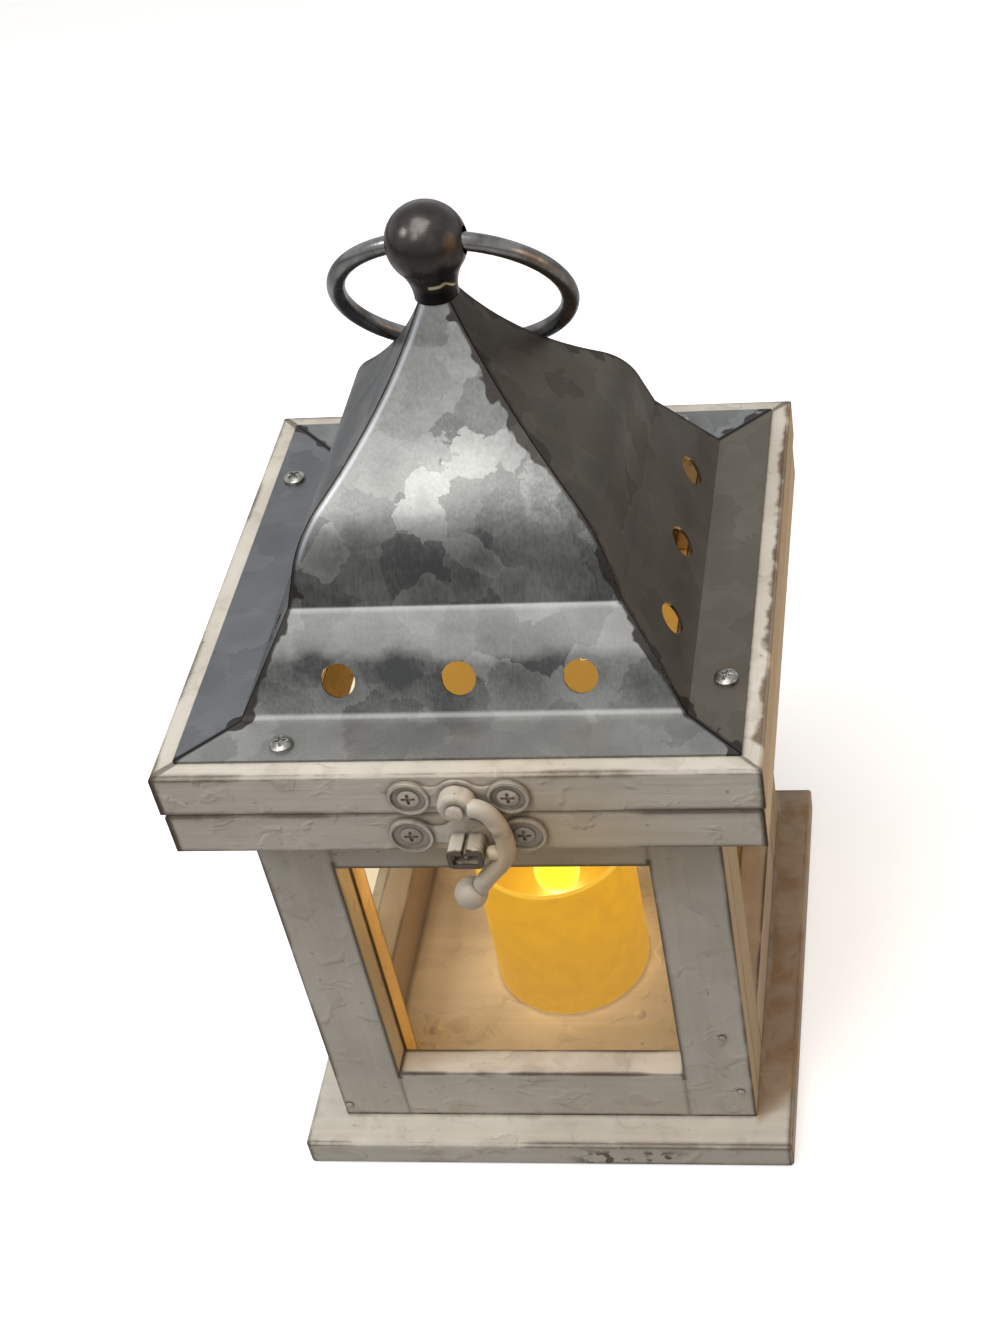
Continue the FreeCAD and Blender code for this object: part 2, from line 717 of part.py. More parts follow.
def hinge_leaf(centre, face, up, spans, play, screw_z):
    """A leaf flat on its face with knuckles over the given spans."""
    low = pin_z + knuckle + val("knuckle_play") if up else pin_z - leaf_high
    high = pin_z + leaf_high if up else pin_z - knuckle - val("knuckle_play")
    shape = Part.makeBox(leaf_long, leaf_thick, high - low, vec(centre - leaf_long / 2, face, low))
    for start in spans:
        end = (low, pin_z) if up else (high, pin_z)
        tab = Part.makeBox(third, leaf_thick, abs(end[0] - end[1]), vec(start, face, min(end)))
        roll = Part.makeCylinder(knuckle, third, vec(start, pin_y, pin_z), X_AXIS)
        shape = shape.fuse([tab, roll])
    shape = shape.cut(Part.makeCylinder(val("hinge_pin_dia") / 2 + play, leaf_long,
                                        vec(centre - leaf_long / 2, pin_y, pin_z), X_AXIS))
    for end in (-1, 1):
        x = centre + end * val("leaf_screw_pitch") / 2
        shape = shape.cut(Part.makeCylinder(leaf_pilot, leaf_thick, vec(x, face, screw_z), Y_AXIS))
    return shape.removeSplitter()


low_leaves, high_leaves = [], []
hinge_centres = [end * val("hinge_place") for end in (-1, 1)]
for centre in hinge_centres:
    left = centre - leaf_long / 2
    outer_spans = (left, centre + leaf_long / 2 - third)
    low_leaves.append(hinge_leaf(centre, val("frame_half"), False, outer_spans, 0.0,
                                 pin_z - val("leaf_screw_drop")))
    high_leaves.append(hinge_leaf(centre, val("lid_half"), True, (centre - third / 2,), val("pin_play"),
                                  pin_z + val("leaf_screw_drop")))
settle("hinge_leaves_body", Part.makeCompound(low_leaves))
settle("hinge_leaves_lid", Part.makeCompound(high_leaves))
pin_master = rod("hinge_pin_master", "hinge_pin_dia / 2", "leaf_long", "0", "0", "0")
copies("hinge_pins", pin_master,
       [FreeCAD.Placement(vec(c - leaf_long / 2, pin_y, pin_z), FreeCAD.Rotation(Y_AXIS, 90))
        for c in hinge_centres])
leaf_screw = screw_master("leaf_screw_master", "leaf_screw_dia", "leaf_screw_high",
                          "leaf_shank_dia", "leaf_screw_long", val("leaf_screw_high") / 2)
to_back = FreeCAD.Rotation(X_AXIS, -90)
copies("hinge_screws_body", leaf_screw,
       [FreeCAD.Placement(vec(x, val("frame_half") + leaf_thick, pin_z - val("leaf_screw_drop")), to_back)
        for x in leaf_spots])
copies("hinge_screws_lid", leaf_screw,
       [FreeCAD.Placement(vec(x, val("lid_half") + leaf_thick, pin_z + val("leaf_screw_drop")), to_back)
        for x in leaf_spots])


def two_lobe_plate(body, label, pitch, lobe_dia, hub_dia, level, face, holes):
    """Stamped plate: a hub and two rimmed screw lobes joined by hollow curves."""
    spread, lobe, hub, fillet = val(pitch) / 2, val(lobe_dia) / 2, val(hub_dia) / 2, val("plate_waist")
    mid, up = val("latch_shift"), val(level)
    fx = (spread ** 2 + (hub + fillet) ** 2 - (lobe + fillet) ** 2) / (2 * spread)
    fz = math.sqrt((hub + fillet) ** 2 - fx ** 2)
    on_hub = (fx * hub / (hub + fillet), fz * hub / (hub + fillet))
    on_lobe = (spread + (fx - spread) * lobe / (lobe + fillet), fz * lobe / (lobe + fillet))
    waist = (fx, fz - fillet)

    def at(x, z):
        return (mid + x, up + z)

    shape = outline(at(-on_hub[0], on_hub[1]),
                    (at(0, hub), at(*on_hub)),
                    (at(*waist), at(*on_lobe)),
                    (at(spread + lobe, 0), at(on_lobe[0], -on_lobe[1])),
                    (at(waist[0], -waist[1]), at(on_hub[0], -on_hub[1])),
                    (at(0, -hub), at(-on_hub[0], -on_hub[1])),
                    (at(-waist[0], -waist[1]), at(-on_lobe[0], -on_lobe[1])),
                    (at(-spread - lobe, 0), at(-on_lobe[0], on_lobe[1])),
                    (at(-waist[0], waist[1]), at(-on_hub[0], on_hub[1])))
    sketch = draw(body, "XZ_Plane", shape, label + "_outline", lift=face)
    pad(body, sketch, "plate_thick", label + "_stamping")
    for number, x in enumerate((mid - spread, mid + spread)):
        rim_edges = [Part.Circle(vec(x, up, 0), Z_AXIS, lobe),
                     Part.Circle(vec(x, up, 0), Z_AXIS, lobe - val("rim_wide"))]
        rim = draw(body, "XZ_Plane", rim_edges, label + "_rim_%d" % number, lift=face)
        pad(body, rim, "plate_thick + rim_high", label + "_raised_rim_%d" % number)
    for number, (x, radius) in enumerate(holes):
        ring_edge = [Part.Circle(vec(x, up, 0), Z_AXIS, radius)]
        hole = draw(body, "XZ_Plane", ring_edge, label + "_hole_%d" % number)
        pocket_through(body, hole, label + "_drill_%d" % number)
    return body


# Latch plate on the lid, its two screws and the rivet the hook turns on.
rivet_hole_half = val("rivet_dia") / 2 + val("rivet_play")
latch_plate = two_lobe_plate(new_body("latch_plate_body"), "latch_plate", "latch_pitch", "latch_lobe_dia",
                             "latch_hub_dia", "latch_level", "lid_half",
                             [(x, small_pilot) for x in latch_spots]
                             + [(val("latch_shift"), rivet_hole_half)])
piece(latch_plate, "latch_plate")
latch_screw = screw_master("latch_screw_master", "latch_head_dia", "latch_head_high",
                           "latch_shank_dia", "latch_screw_long", val("latch_head_high") * 0.8)
to_front = FreeCAD.Rotation(X_AXIS, 90)
latch_face = -val("lid_half") - val("plate_thick")
copies("latch_screws", latch_screw,
       [FreeCAD.Placement(vec(x, latch_face, val("latch_level")), to_front) for x in latch_spots])
rivet, rivet_head = val("rivet_dia") / 2, val("rivet_head_dia") / 2
eye_top = val("eye_gap") + val("eye_thick")
head_low = eye_top + val("eye_gap")
head_share = 0.6
head_rim = head_low + val("rivet_head_high") * head_share
rivet_profile = outline((0, -val("plate_thick") * 2), (rivet, -val("plate_thick") * 2), (rivet, head_low),
                        (rivet_head, head_low), (rivet_head, head_rim),
                        dome(rivet_head, head_rim, head_low + val("rivet_head_high")),
                        (0, -val("plate_thick") * 2))
rivet_body = turned("latch_rivet_turned", rivet_profile)
rivet_body.Placement = FreeCAD.Placement(vec(val("latch_shift"), latch_face, val("latch_level")), to_front)
piece(rivet_body, "latch_rivet")


def curve_through(points, heading):
    """Arcs that run smoothly from one point to the next in the XZ plane."""
    edges = []
    for start, end in zip(points[:-1], points[1:]):
        chord = end - start
        along = vec(chord.x, chord.y, chord.z)
        along.normalize()
        forward = heading.dot(along)
        across = heading - along * forward
        if across.Length < 1e-9:
            edges.append(Part.LineSegment(start, end).toShape())
            continue
        half_angle = math.acos(max(-1.0, min(1.0, forward)))
        across.normalize()
        middle = (start + end) * 0.5 + across * (chord.Length / 2 * math.tan(half_angle / 2))
        edges.append(Part.Arc(start, middle, end).toShape())
        heading = along * (2 * forward) - heading
    return Part.Wire(edges), heading


def seam_away(radius, centre):
    """A ball whose surface seam lies to the left, away from the bar."""
    ball_shape = Part.makeSphere(radius)
    ball_shape.Placement = FreeCAD.Placement(centre, FreeCAD.Rotation(Z_AXIS, 180))
    return ball_shape


# Swing hook: a round bar that leaves the eye to the right, bows round the
# keeper and ends in a ball for the finger. The inner nub meets the keeper.
pivot = vec(val("latch_shift"), latch_face, val("latch_level"))
bar_y = latch_face - val("hook_out")
path_shares = ((0.31, 0.0), (0.76, -0.09), (1.0, -0.41), (0.67, -0.69), (0.10, -0.945))
path = [vec(pivot.x + a * val("hook_reach"), bar_y, pivot.z + b * val("hook_drop"))
        for a, b in path_shares]
spine, last_way = curve_through(path, X_AXIS)
bar_end = Part.Wire(Part.Circle(path[0], X_AXIS, val("hook_dia") / 2).toShape())
bar = spine.makePipeShell([bar_end], True, True)
finger_share = -0.13
finger_at = vec(pivot.x + finger_share * val("hook_reach"), bar_y, pivot.z - val("hook_drop"))
finger = seam_away(val("hook_ball_dia") / 2, finger_at)
eye = Part.makeCylinder(val("eye_dia") / 2, val("eye_thick"), vec(pivot.x, latch_face - val("eye_gap"),
                                                                  pivot.z), -Y_AXIS)
front_rim = [edge for edge in eye.Edges
             if abs(edge.Vertexes[0].Y - (latch_face - eye_top)) < 1e-6
             and abs(edge.Vertexes[-1].Y - (latch_face - eye_top)) < 1e-6]
eye = eye.makeFillet(val("eye_round"), front_rim)
eye = eye.cut(Part.makeCylinder(rivet_hole_half, eye_top + val("hook_dia"), pivot, -Y_AXIS))
keeper_side = val("latch_shift") + val("keeper_wide") / 2
nub = val("nub_dia") / 2
nub_at = vec(keeper_side + val("keeper_gap") + nub, bar_y, val("keeper_level"))
bar_beside = path[2] - nub_at
arm_nub = Part.makeCylinder(nub, max(bar_beside.x, nub), nub_at, X_AXIS)
hook = bar
for joined in (finger, eye, seam_away(nub, nub_at), arm_nub):
    hook = hook.fuse(joined)
settle("latch_hook", hook.removeSplitter())

# Catch plate on the fixed frame: a hollow keeper stands out of it, slit along
# its top, and the hook closes round its right side and under it.
catch_plate = two_lobe_plate(new_body("catch_plate_body"), "catch_plate", "catch_pitch", "catch_lobe_dia",
                             "catch_hub_dia", "catch_level", "frame_half",
                             [(x, small_pilot) for x in catch_spots])
catch_face = -val("frame_half") - val("plate_thick")
kw, kh, ko = val("keeper_wide"), val("keeper_high"), val("keeper_out")
kw_wall = val("keeper_wall")
keeper_low = val("keeper_level") - kh / 2
keeper = Part.makeBox(kw, ko, kh, vec(val("latch_shift") - kw / 2, catch_face - ko, keeper_low))
front_edges = [edge for edge in keeper.Edges if abs(edge.Length - ko) < 1e-6]
keeper = keeper.makeFillet(val("keeper_round"), front_edges)
hollow = Part.makeBox(kw - 2 * kw_wall, ko - 2 * kw_wall, kh - 2 * kw_wall,
                      vec(val("latch_shift") - kw / 2 + kw_wall, catch_face - ko,
                          keeper_low + kw_wall))
slit = Part.makeBox(val("keeper_slit"), ko, val("keeper_slit_deep"),
                    vec(val("latch_shift") - val("keeper_slit") / 2, catch_face - ko,
                        keeper_low + kh - val("keeper_slit_deep")))
stem = Part.makeCylinder(kw_wall / 2, ko - 2 * kw_wall,
                         vec(val("latch_shift"), catch_face - kw_wall, val("keeper_level")), -Y_AXIS)
keeper_obj = doc.addObject("Part::Feature", "keeper_shell")
keeper_obj.Shape = keeper.cut(hollow).cut(slit).fuse(stem)
piece(join("catch_plate_with_keeper", [catch_plate, keeper_obj]), "catch_plate")
catch_places = [FreeCAD.Placement(vec(x, catch_face, val("catch_level")), to_front) for x in catch_spots]
copies("catch_screws", latch_screw, catch_places)

# Battery candle: a wax coloured shell with a deep hollow top, a flame shaped lamp
# and a plastic housing with battery, door and slide switch underneath.
ch, chigh, dish = val("candle_half"), val("candle_high"), val("dish_level")
rim, core = val("candle_rim"), val("candle_core_dia") / 2
core_high, edge = val("candle_core_high"), val("candle_round")
seat = val("flame_seat_dia") / 2
seat_low = dish - val("flame_seat_deep")
dish_half = ch - rim
shell_profile = outline((core, 0), (ch - edge, 0),
                        ((ch - edge * (1 - math.sqrt(0.5)), edge * (1 - math.sqrt(0.5))), (ch, edge)),
                        (ch, chigh - rim / 2), ((ch - rim / 2, chigh), (ch - rim, chigh - rim / 2)),
                        (dish_half, dish + edge), (dish_half - edge, dish), (seat, dish),
                        (seat, seat_low), (0, seat_low), (0, core_high), (core, core_high), (core, 0))
shell = turned("candle_shell_turned", shell_profile)
shell.setExpression(".Placement.Base.z", formula("base_thick"))
piece(shell, "candle_shell")
flame, lift = val("flame_dia") / 2, val("flame_high")
lamp_seat = seat - val("core_play")
belly_share, taper_share, tip_share = 0.36, 0.66, 0.93
waist_share, point_share = 0.66, 0.14
lamp_profile = outline((0, 0), (lamp_seat, 0), (lamp_seat, val("flame_seat_deep")),
                       ((flame, lift * belly_share), (flame * waist_share, lift * taper_share)),
                       (flame * point_share, lift * tip_share),
                       dome(flame * point_share, lift * tip_share, lift), (0, 0))
lamp = turned("candle_flame_turned", lamp_profile)
lamp.setExpression(".Placement.Base.z", formula("base_thick + dish_level - flame_seat_deep"))
piece(lamp, "candle_flame")
house = core - val("core_play")
door, door_low = val("door_dia") / 2, val("door_deep")
door_top = door_low + val("door_thick")
cell, cell_top = val("battery_dia") / 2 + val("cell_play"), 0.0
cell_top = door_top + val("battery_thick") + val("cell_play")
house_profile = outline((door + val("cell_play"), 0), (house, 0), (house, core_high), (0, core_high),
                        (0, cell_top), (cell, cell_top), (cell, door_top),
                        (door + val("cell_play"), door_top), (door + val("cell_play"), 0))
housing = turned("candle_housing_turned", house_profile)
housing.setExpression(".Placement.Base.z", formula("base_thick"))
well = block("switch_well", "switch_well_long", "switch_well_wide", "switch_well_deep",
             "-switch_well_long / 2", "-switch_shift - switch_well_wide / 2", "base_thick")
piece(cut("candle_housing_cut", housing, well), "candle_housing")
battery = rod("battery_cell", "battery_dia / 2", "battery_thick", "0", "0",
              "base_thick + door_deep + door_thick")
piece(battery, "candle_battery")
hatch = rod("battery_hatch", "door_dia / 2", "door_thick", "0", "0", "base_thick + door_deep")
piece(hatch, "battery_door")
slider = block("switch_slider", "switch_long", "switch_well_wide - 2 * switch_play",
               "switch_well_deep - switch_deep - switch_play",
               "-switch_well_long / 2 + switch_play",
               "-switch_shift - switch_well_wide / 2 + switch_play", "base_thick + switch_deep")
piece(slider, "candle_switch")

# Check every object and every piece, then write one file for each piece.
doc.recompute()
for obj in doc.Objects:
    if "Invalid" in obj.State or "Error" in obj.State:
        raise RuntimeError("object failed: " + obj.Name + " " + str(obj.State))
os.makedirs("parts", exist_ok=True)
for obj in PIECES:
    shape = obj.Shape
    if shape.isNull() or not shape.isValid() or not shape.Solids:
        raise RuntimeError("piece has no sound shape: " + obj.Label)
for obj in PIECES:
    obj.Shape.exportStep("parts/" + obj.Label + ".step")
box = FreeCAD.BoundBox()
for obj in PIECES:
    box.add(obj.Shape.BoundBox)
print(len(PIECES), "pieces, box", [round(a, 3) for a in
                                   (box.XMin, box.YMin, box.ZMin, box.XMax, box.YMax, box.ZMax)])
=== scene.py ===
import bpy
import math
from mathutils import Matrix, Vector


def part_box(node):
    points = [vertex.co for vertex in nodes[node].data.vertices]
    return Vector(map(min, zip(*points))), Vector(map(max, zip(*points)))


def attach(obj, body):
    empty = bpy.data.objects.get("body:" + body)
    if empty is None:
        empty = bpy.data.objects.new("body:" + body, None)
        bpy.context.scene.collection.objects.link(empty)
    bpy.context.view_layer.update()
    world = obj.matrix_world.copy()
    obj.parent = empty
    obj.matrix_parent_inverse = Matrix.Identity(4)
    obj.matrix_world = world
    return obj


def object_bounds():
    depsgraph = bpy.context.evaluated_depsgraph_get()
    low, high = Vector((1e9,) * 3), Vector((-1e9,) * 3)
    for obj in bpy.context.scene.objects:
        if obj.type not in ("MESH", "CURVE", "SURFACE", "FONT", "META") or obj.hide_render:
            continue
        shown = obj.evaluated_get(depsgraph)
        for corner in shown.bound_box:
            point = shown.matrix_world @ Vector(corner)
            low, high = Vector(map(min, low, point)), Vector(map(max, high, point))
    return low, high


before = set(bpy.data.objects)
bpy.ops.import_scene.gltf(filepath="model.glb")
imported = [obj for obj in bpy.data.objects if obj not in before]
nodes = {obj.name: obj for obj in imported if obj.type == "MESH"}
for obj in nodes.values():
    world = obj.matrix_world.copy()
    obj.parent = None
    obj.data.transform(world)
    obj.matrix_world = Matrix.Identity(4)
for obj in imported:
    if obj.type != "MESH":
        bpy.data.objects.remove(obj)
cad_low, cad_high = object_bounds()


# Base board: one square board under the case, brushed with thin chalky
# whitewash. Its edges are rubbed through to the brown wood. The strip to the
# right of the case has kept only a thin coat and is darkened further with
# painted shade, where the case shades it.
def knot(tree, kind, *joins, **settings):
    """One shader node: its settings, then what feeds each of its inputs."""
    made = tree.nodes.new("ShaderNode" + kind)
    for name, value in settings.items():
        setattr(made, name, value)
    for place, source in joins:
        if isinstance(source, bpy.types.NodeSocket):
            tree.links.new(source, made.inputs[place])
        else:
            made.inputs[place].default_value = source
    return made


def reckon(tree, way, first, second=0.0, third=0.0):
    """One sum on values, such as ADD or MULTIPLY."""
    return knot(tree, "Math", (0, first), (1, second), (2, third), operation=way).outputs[0]


def over(tree, amount, under, top, way="MIX"):
    """One colour laid over another by an amount."""
    laid = knot(tree, "Mix", (0, amount), (6, under), (7, top), data_type="RGBA", blend_type=way)
    return laid.outputs[2]


def rise(tree, value, low, high, bottom=0.0, top=1.0):
    """A soft step from one level to another as a value grows."""
    step = knot(tree, "MapRange", ("Value", value), ("From Min", low), ("From Max", high),
                ("To Min", bottom), ("To Max", top), interpolation_type="SMOOTHSTEP")
    return step.outputs[0]


def both(tree, *masks):
    """Several masks in one: their product."""
    joined = masks[0]
    for mask in masks[1:]:
        joined = reckon(tree, "MULTIPLY", joined, mask)
    return joined


def axes(tree):
    """Where a point lies on its own piece: the coordinates, then x, y and z."""
    place = knot(tree, "TexCoord")
    return (place, *knot(tree, "SeparateXYZ", ("Vector", place.outputs["Object"])).outputs)


def noise(tree, place, scale, detail, *joins):
    """Noise that sticks to the piece; joins set its roughness or distortion."""
    return knot(tree, "TexNoise", ("Vector", place.outputs["Object"]), ("Scale", scale),
                ("Detail", detail), *joins)


def drift(tree, source, reach):
    """A small shift either way that follows a noise."""
    return reckon(tree, "MULTIPLY", reckon(tree, "SUBTRACT", source.outputs["Fac"], 0.5), reach)


def scaled(tree, vector, factor):
    """A vector times one number, or times one for each axis."""
    if isinstance(factor, float):
        factor = (factor, factor, factor)
    return knot(tree, "VectorMath", (0, vector), (1, factor), operation="MULTIPLY").outputs[0]


def ruffled(tree, place, source, reach):
    """A point's place, pushed about by a noise, so that no pattern runs straight."""
    push = scaled(tree, source.outputs["Color"], reach)
    return knot(tree, "VectorMath", (0, place.outputs["Object"]), (1, push),
                operation="ADD").outputs[0]


def span_to(tree, place, spot):
    """How far a point lies from one spot on its piece."""
    return knot(tree, "VectorMath", (0, place.outputs["Object"]), (1, spot),
                operation="DISTANCE").outputs["Value"]


def facing(tree, place):
    """How far the surface faces right, back and up."""
    return knot(tree, "SeparateXYZ", ("Vector", place.outputs["Normal"])).outputs


def worn_colour(shader):
    """The socket that feeds a shader's colour, to lay more over it."""
    return shader.inputs["Base Color"].links[0].from_socket


def colour(red, green, blue):
    return (red, green, blue, 1.0)


def new_group(name, takes, gives):
    """An empty node group with its named sockets."""
    tree = bpy.data.node_groups.new(name, "ShaderNodeTree")
    for way, sockets in (("INPUT", takes), ("OUTPUT", gives)):
        for label, kind, start in sockets:
            made = tree.interface.new_socket(label, in_out=way, socket_type="NodeSocket" + kind)
            if start is not None:
                made.default_value = start
    start = tree.nodes.new("NodeGroupInput")
    end = tree.nodes.new("NodeGroupOutput")
    return tree, start.outputs, end.inputs


def place_group(tree, group, **values):
    """A node group put in a material with its own values."""
    made = tree.nodes.new("ShaderNodeGroup")
    made.node_tree = group
    for name, value in values.items():
        name = name.replace("_", " ")
        if isinstance(value, bpy.types.NodeSocket):
            tree.links.new(value, made.inputs[name])
        else:
            made.inputs[name].default_value = value
    return made.outputs


def finish_with(name, sheen, **inputs):
    """A material with its Principled shader; returns the tree and the shader."""
    made = bpy.data.materials.new(name)
    made.use_nodes = True
    tree = made.node_tree
    shader = tree.nodes["Principled BSDF"]
    shader.inputs["Roughness"].default_value = sheen
    for label, value in inputs.items():
        shader.inputs[label.replace("_", " ")].default_value = value
    return made, tree, shader


def dress(node_names, material):
    """Give CAD nodes one material all over."""
    for name in node_names:
        slots = nodes[name].data.materials
        slots.clear()
        slots.append(material)


edge_wear_and_crevice_shade, given, put_out = new_group(
    "edge_wear_and_crevice_shade",
    (("Radius", "Float", 0.0022), ("Amount", "Float", 0.5), ("Break Up", "Float", 260.0)),
    (("Mask", "Float", None), ("Painted Shade", "Float", None), ("Normal", "Vector", None)))
rounded = knot(edge_wear_and_crevice_shade, "Bevel", ("Radius", given["Radius"]), samples=6)
straight = knot(edge_wear_and_crevice_shade, "NewGeometry")
turned_by = knot(edge_wear_and_crevice_shade, "VectorMath", (0, rounded.outputs[0]), (1, straight.outputs["Normal"]),
                 operation="DOT_PRODUCT")
bend = reckon(edge_wear_and_crevice_shade, "SUBTRACT", 1.0, turned_by.outputs["Value"])
place = knot(edge_wear_and_crevice_shade, "TexCoord")
ragged = noise(edge_wear_and_crevice_shade, place, given["Break Up"], 4.0, ("Roughness", 0.6))
patchy = noise(edge_wear_and_crevice_shade, place, 34.0, 3.0)
patch = rise(edge_wear_and_crevice_shade, patchy.outputs["Fac"], 0.42, 0.62, 0.18, 1.9)
grit = both(edge_wear_and_crevice_shade, ragged.outputs["Fac"], patch, given["Amount"])
mask = rise(edge_wear_and_crevice_shade, both(edge_wear_and_crevice_shade, bend, grit), 0.016, 0.042)
edge_wear_and_crevice_shade.links.new(mask, put_out["Mask"])
# Painted shade: an ambient occlusion node darkens the crevices where pieces come close.
shut_in = knot(edge_wear_and_crevice_shade, "AmbientOcclusion", ("Distance", 0.0020), samples=6)
open_air = reckon(edge_wear_and_crevice_shade, "ADD", shut_in.outputs["AO"], drift(edge_wear_and_crevice_shade, ragged, 0.5))
edge_wear_and_crevice_shade.links.new(rise(edge_wear_and_crevice_shade, open_air, 0.50, 0.86, 1.0, 0.0), put_out["Painted Shade"])
edge_wear_and_crevice_shade.links.new(rounded.outputs[0], put_out["Normal"])

whitewash, given, put_out = new_group(
    "whitewash",
    (("Paint", "Color", colour(0.6, 0.56, 0.5)), ("Thin Paint", "Color", colour(0.4, 0.34, 0.27)),
     ("Bare Wood", "Color", colour(0.060, 0.036, 0.020)), ("Grain", "Vector", (14.0, 420.0, 420.0)),
     ("Thinness", "Float", 0.4), ("Edge", "Float", 0.0), ("Specks", "Float", 0.5),
     ("Top Light", "Float", 0.3)),
    (("Colour", "Color", None), ("Roughness", "Float", None), ("Height", "Float", None)))
place = knot(whitewash, "TexCoord")
wander = noise(whitewash, place, 30.0, 2.0)
moved = ruffled(whitewash, place, wander, 0.0022)
along = scaled(whitewash, moved, given["Grain"])
bristles = knot(whitewash, "TexNoise", ("Vector", along), ("Scale", 1.0), ("Detail", 5.0),
                ("Roughness", 0.62))
sweeps = knot(whitewash, "TexNoise", ("Vector", scaled(whitewash, along, 0.28)), ("Scale", 1.0),
              ("Detail", 3.0), ("Roughness", 0.5), ("Distortion", 0.4))
clouds = noise(whitewash, place, 36.0, 4.0, ("Roughness", 0.55))
specks = noise(whitewash, place, 420.0, 2.0, ("Roughness", 0.4))
lumps = knot(whitewash, "TexNoise", ("Vector", moved), ("Scale", 120.0), ("Detail", 3.0),
             ("Roughness", 0.5), ("Distortion", 0.6))
drips = knot(whitewash, "TexVoronoi", ("Vector", moved), ("Scale", 78.0), ("Randomness", 1.0))
chosen = knot(whitewash, "SeparateColor", ("Color", drips.outputs["Color"]))
drip = both(whitewash, rise(whitewash, drips.outputs["Distance"], 0.03, 0.17, 1.0, 0.0),
            rise(whitewash, chosen.outputs[0], 0.70, 0.74))
streak = rise(whitewash, bristles.outputs["Fac"], 0.36, 0.66)
sweep = rise(whitewash, sweeps.outputs["Fac"], 0.35, 0.68)
cloud = rise(whitewash, clouds.outputs["Fac"], 0.36, 0.64)
thin = reckon(whitewash, "MULTIPLY", streak, 0.16)
for source, share in ((sweep, 0.34), (cloud, 0.75)):
    thin = reckon(whitewash, "ADD", thin, reckon(whitewash, "MULTIPLY", source, share))
thin = reckon(whitewash, "MULTIPLY", thin, given["Thinness"])
# Painted highlight: faces that look up are mixed towards cream, as if lit from above.
top_highlight = both(whitewash, rise(whitewash, facing(whitewash, place)[2], 0.3, 0.9),
              given["Top Light"])
paint_with_top_highlight = over(whitewash, top_highlight, given["Paint"], colour(0.86, 0.80, 0.70))
tone = over(whitewash, thin, paint_with_top_highlight, given["Thin Paint"])
lumpy = rise(whitewash, lumps.outputs["Fac"], 0.52, 0.70)
tone = over(whitewash, reckon(whitewash, "MULTIPLY", lumpy, 0.28), tone, given["Thin Paint"])
dots = both(whitewash, rise(whitewash, specks.outputs["Fac"], 0.73, 0.78), given["Specks"], 0.8)
tone = over(whitewash, dots, tone, given["Bare Wood"])
tone = over(whitewash, given["Edge"], tone, given["Bare Wood"])
whitewash.links.new(tone, put_out["Colour"])
sheen = reckon(whitewash, "ADD", 0.62, reckon(whitewash, "MULTIPLY", streak, 0.2))
whitewash.links.new(sheen, put_out["Roughness"])
height = reckon(whitewash, "MULTIPLY", bristles.outputs["Fac"], 0.30)
for source, share in ((lumpy, 0.40), (sweeps.outputs["Fac"], 0.40), (clouds.outputs["Fac"], 1.2),
                      (drip, 0.8), (given["Edge"], -0.7)):
    height = reckon(whitewash, "ADD", height, reckon(whitewash, "MULTIPLY", source, share))
whitewash.links.new(height, put_out["Height"])


def painted(name, grain, paint, thin_paint, thinness, wear, top=0.3, right_light_colour=None):
    """Whitewashed wood with rubbed edges; grain gives the way of the brush, top the
    painted highlight on faces that look up, and right_light_colour the colour of
    the painted warm light on sides that face right. Near the flame the paint gets
    a painted candle glow, and in its crevices a painted shade."""
    made, tree, shader = finish_with(name, 0.7, Specular_IOR_Level=0.35)
    edge = place_group(tree, edge_wear_and_crevice_shade, Amount=wear)
    coat = place_group(tree, whitewash, Paint=colour(*paint), Thin_Paint=colour(*thin_paint),
                       Grain=grain, Thinness=thinness, Edge=edge["Mask"], Top_Light=top)
    relief = knot(tree, "Bump", ("Strength", 0.8), ("Distance", 0.0010), ("Height", coat["Height"]),
                  ("Normal", edge["Normal"]))
    place = knot(tree, "TexCoord")
    # Painted glow of the candle light: the paint near the flame is tinted warm.
    over_flame = (0.016, -0.070, 0.128)
    candle_glow = rise(tree, span_to(tree, place, over_flame), 0.010, 0.052, 0.8, 0.0)
    coat_with_painted_light = over(tree, candle_glow, coat["Colour"], colour(1.0, 0.84, 0.58), "MULTIPLY")
    # Painted warm light on the sides that face right, standing in for a warm lamp.
    if right_light_colour:
        right_side_light = rise(tree, facing(tree, place)[0], 0.5, 0.9, 0.0, 0.7)
        coat_with_painted_light = over(tree, right_side_light, coat_with_painted_light, colour(*right_light_colour))
    # Painted shade in the crevices, from the ambient occlusion mask.
    crevice_shade = reckon(tree, "MULTIPLY", edge["Painted Shade"], 0.55)
    coat_with_painted_light = over(tree, crevice_shade, coat_with_painted_light, colour(0.075, 0.055, 0.040))
    tree.links.new(coat_with_painted_light, shader.inputs["Base Color"])
    tree.links.new(coat["Roughness"], shader.inputs["Roughness"])
    tree.links.new(relief.outputs[0], shader.inputs["Normal"])
    return made


lengthwise, crosswise = 14.0, 420.0
long_x = (lengthwise, crosswise, crosswise)
long_y = (crosswise, lengthwise, crosswise)
long_z = (crosswise, crosswise, lengthwise)
no_way = (160.0, 160.0, 160.0)
dull_chalk = (0.42, 0.375, 0.31)
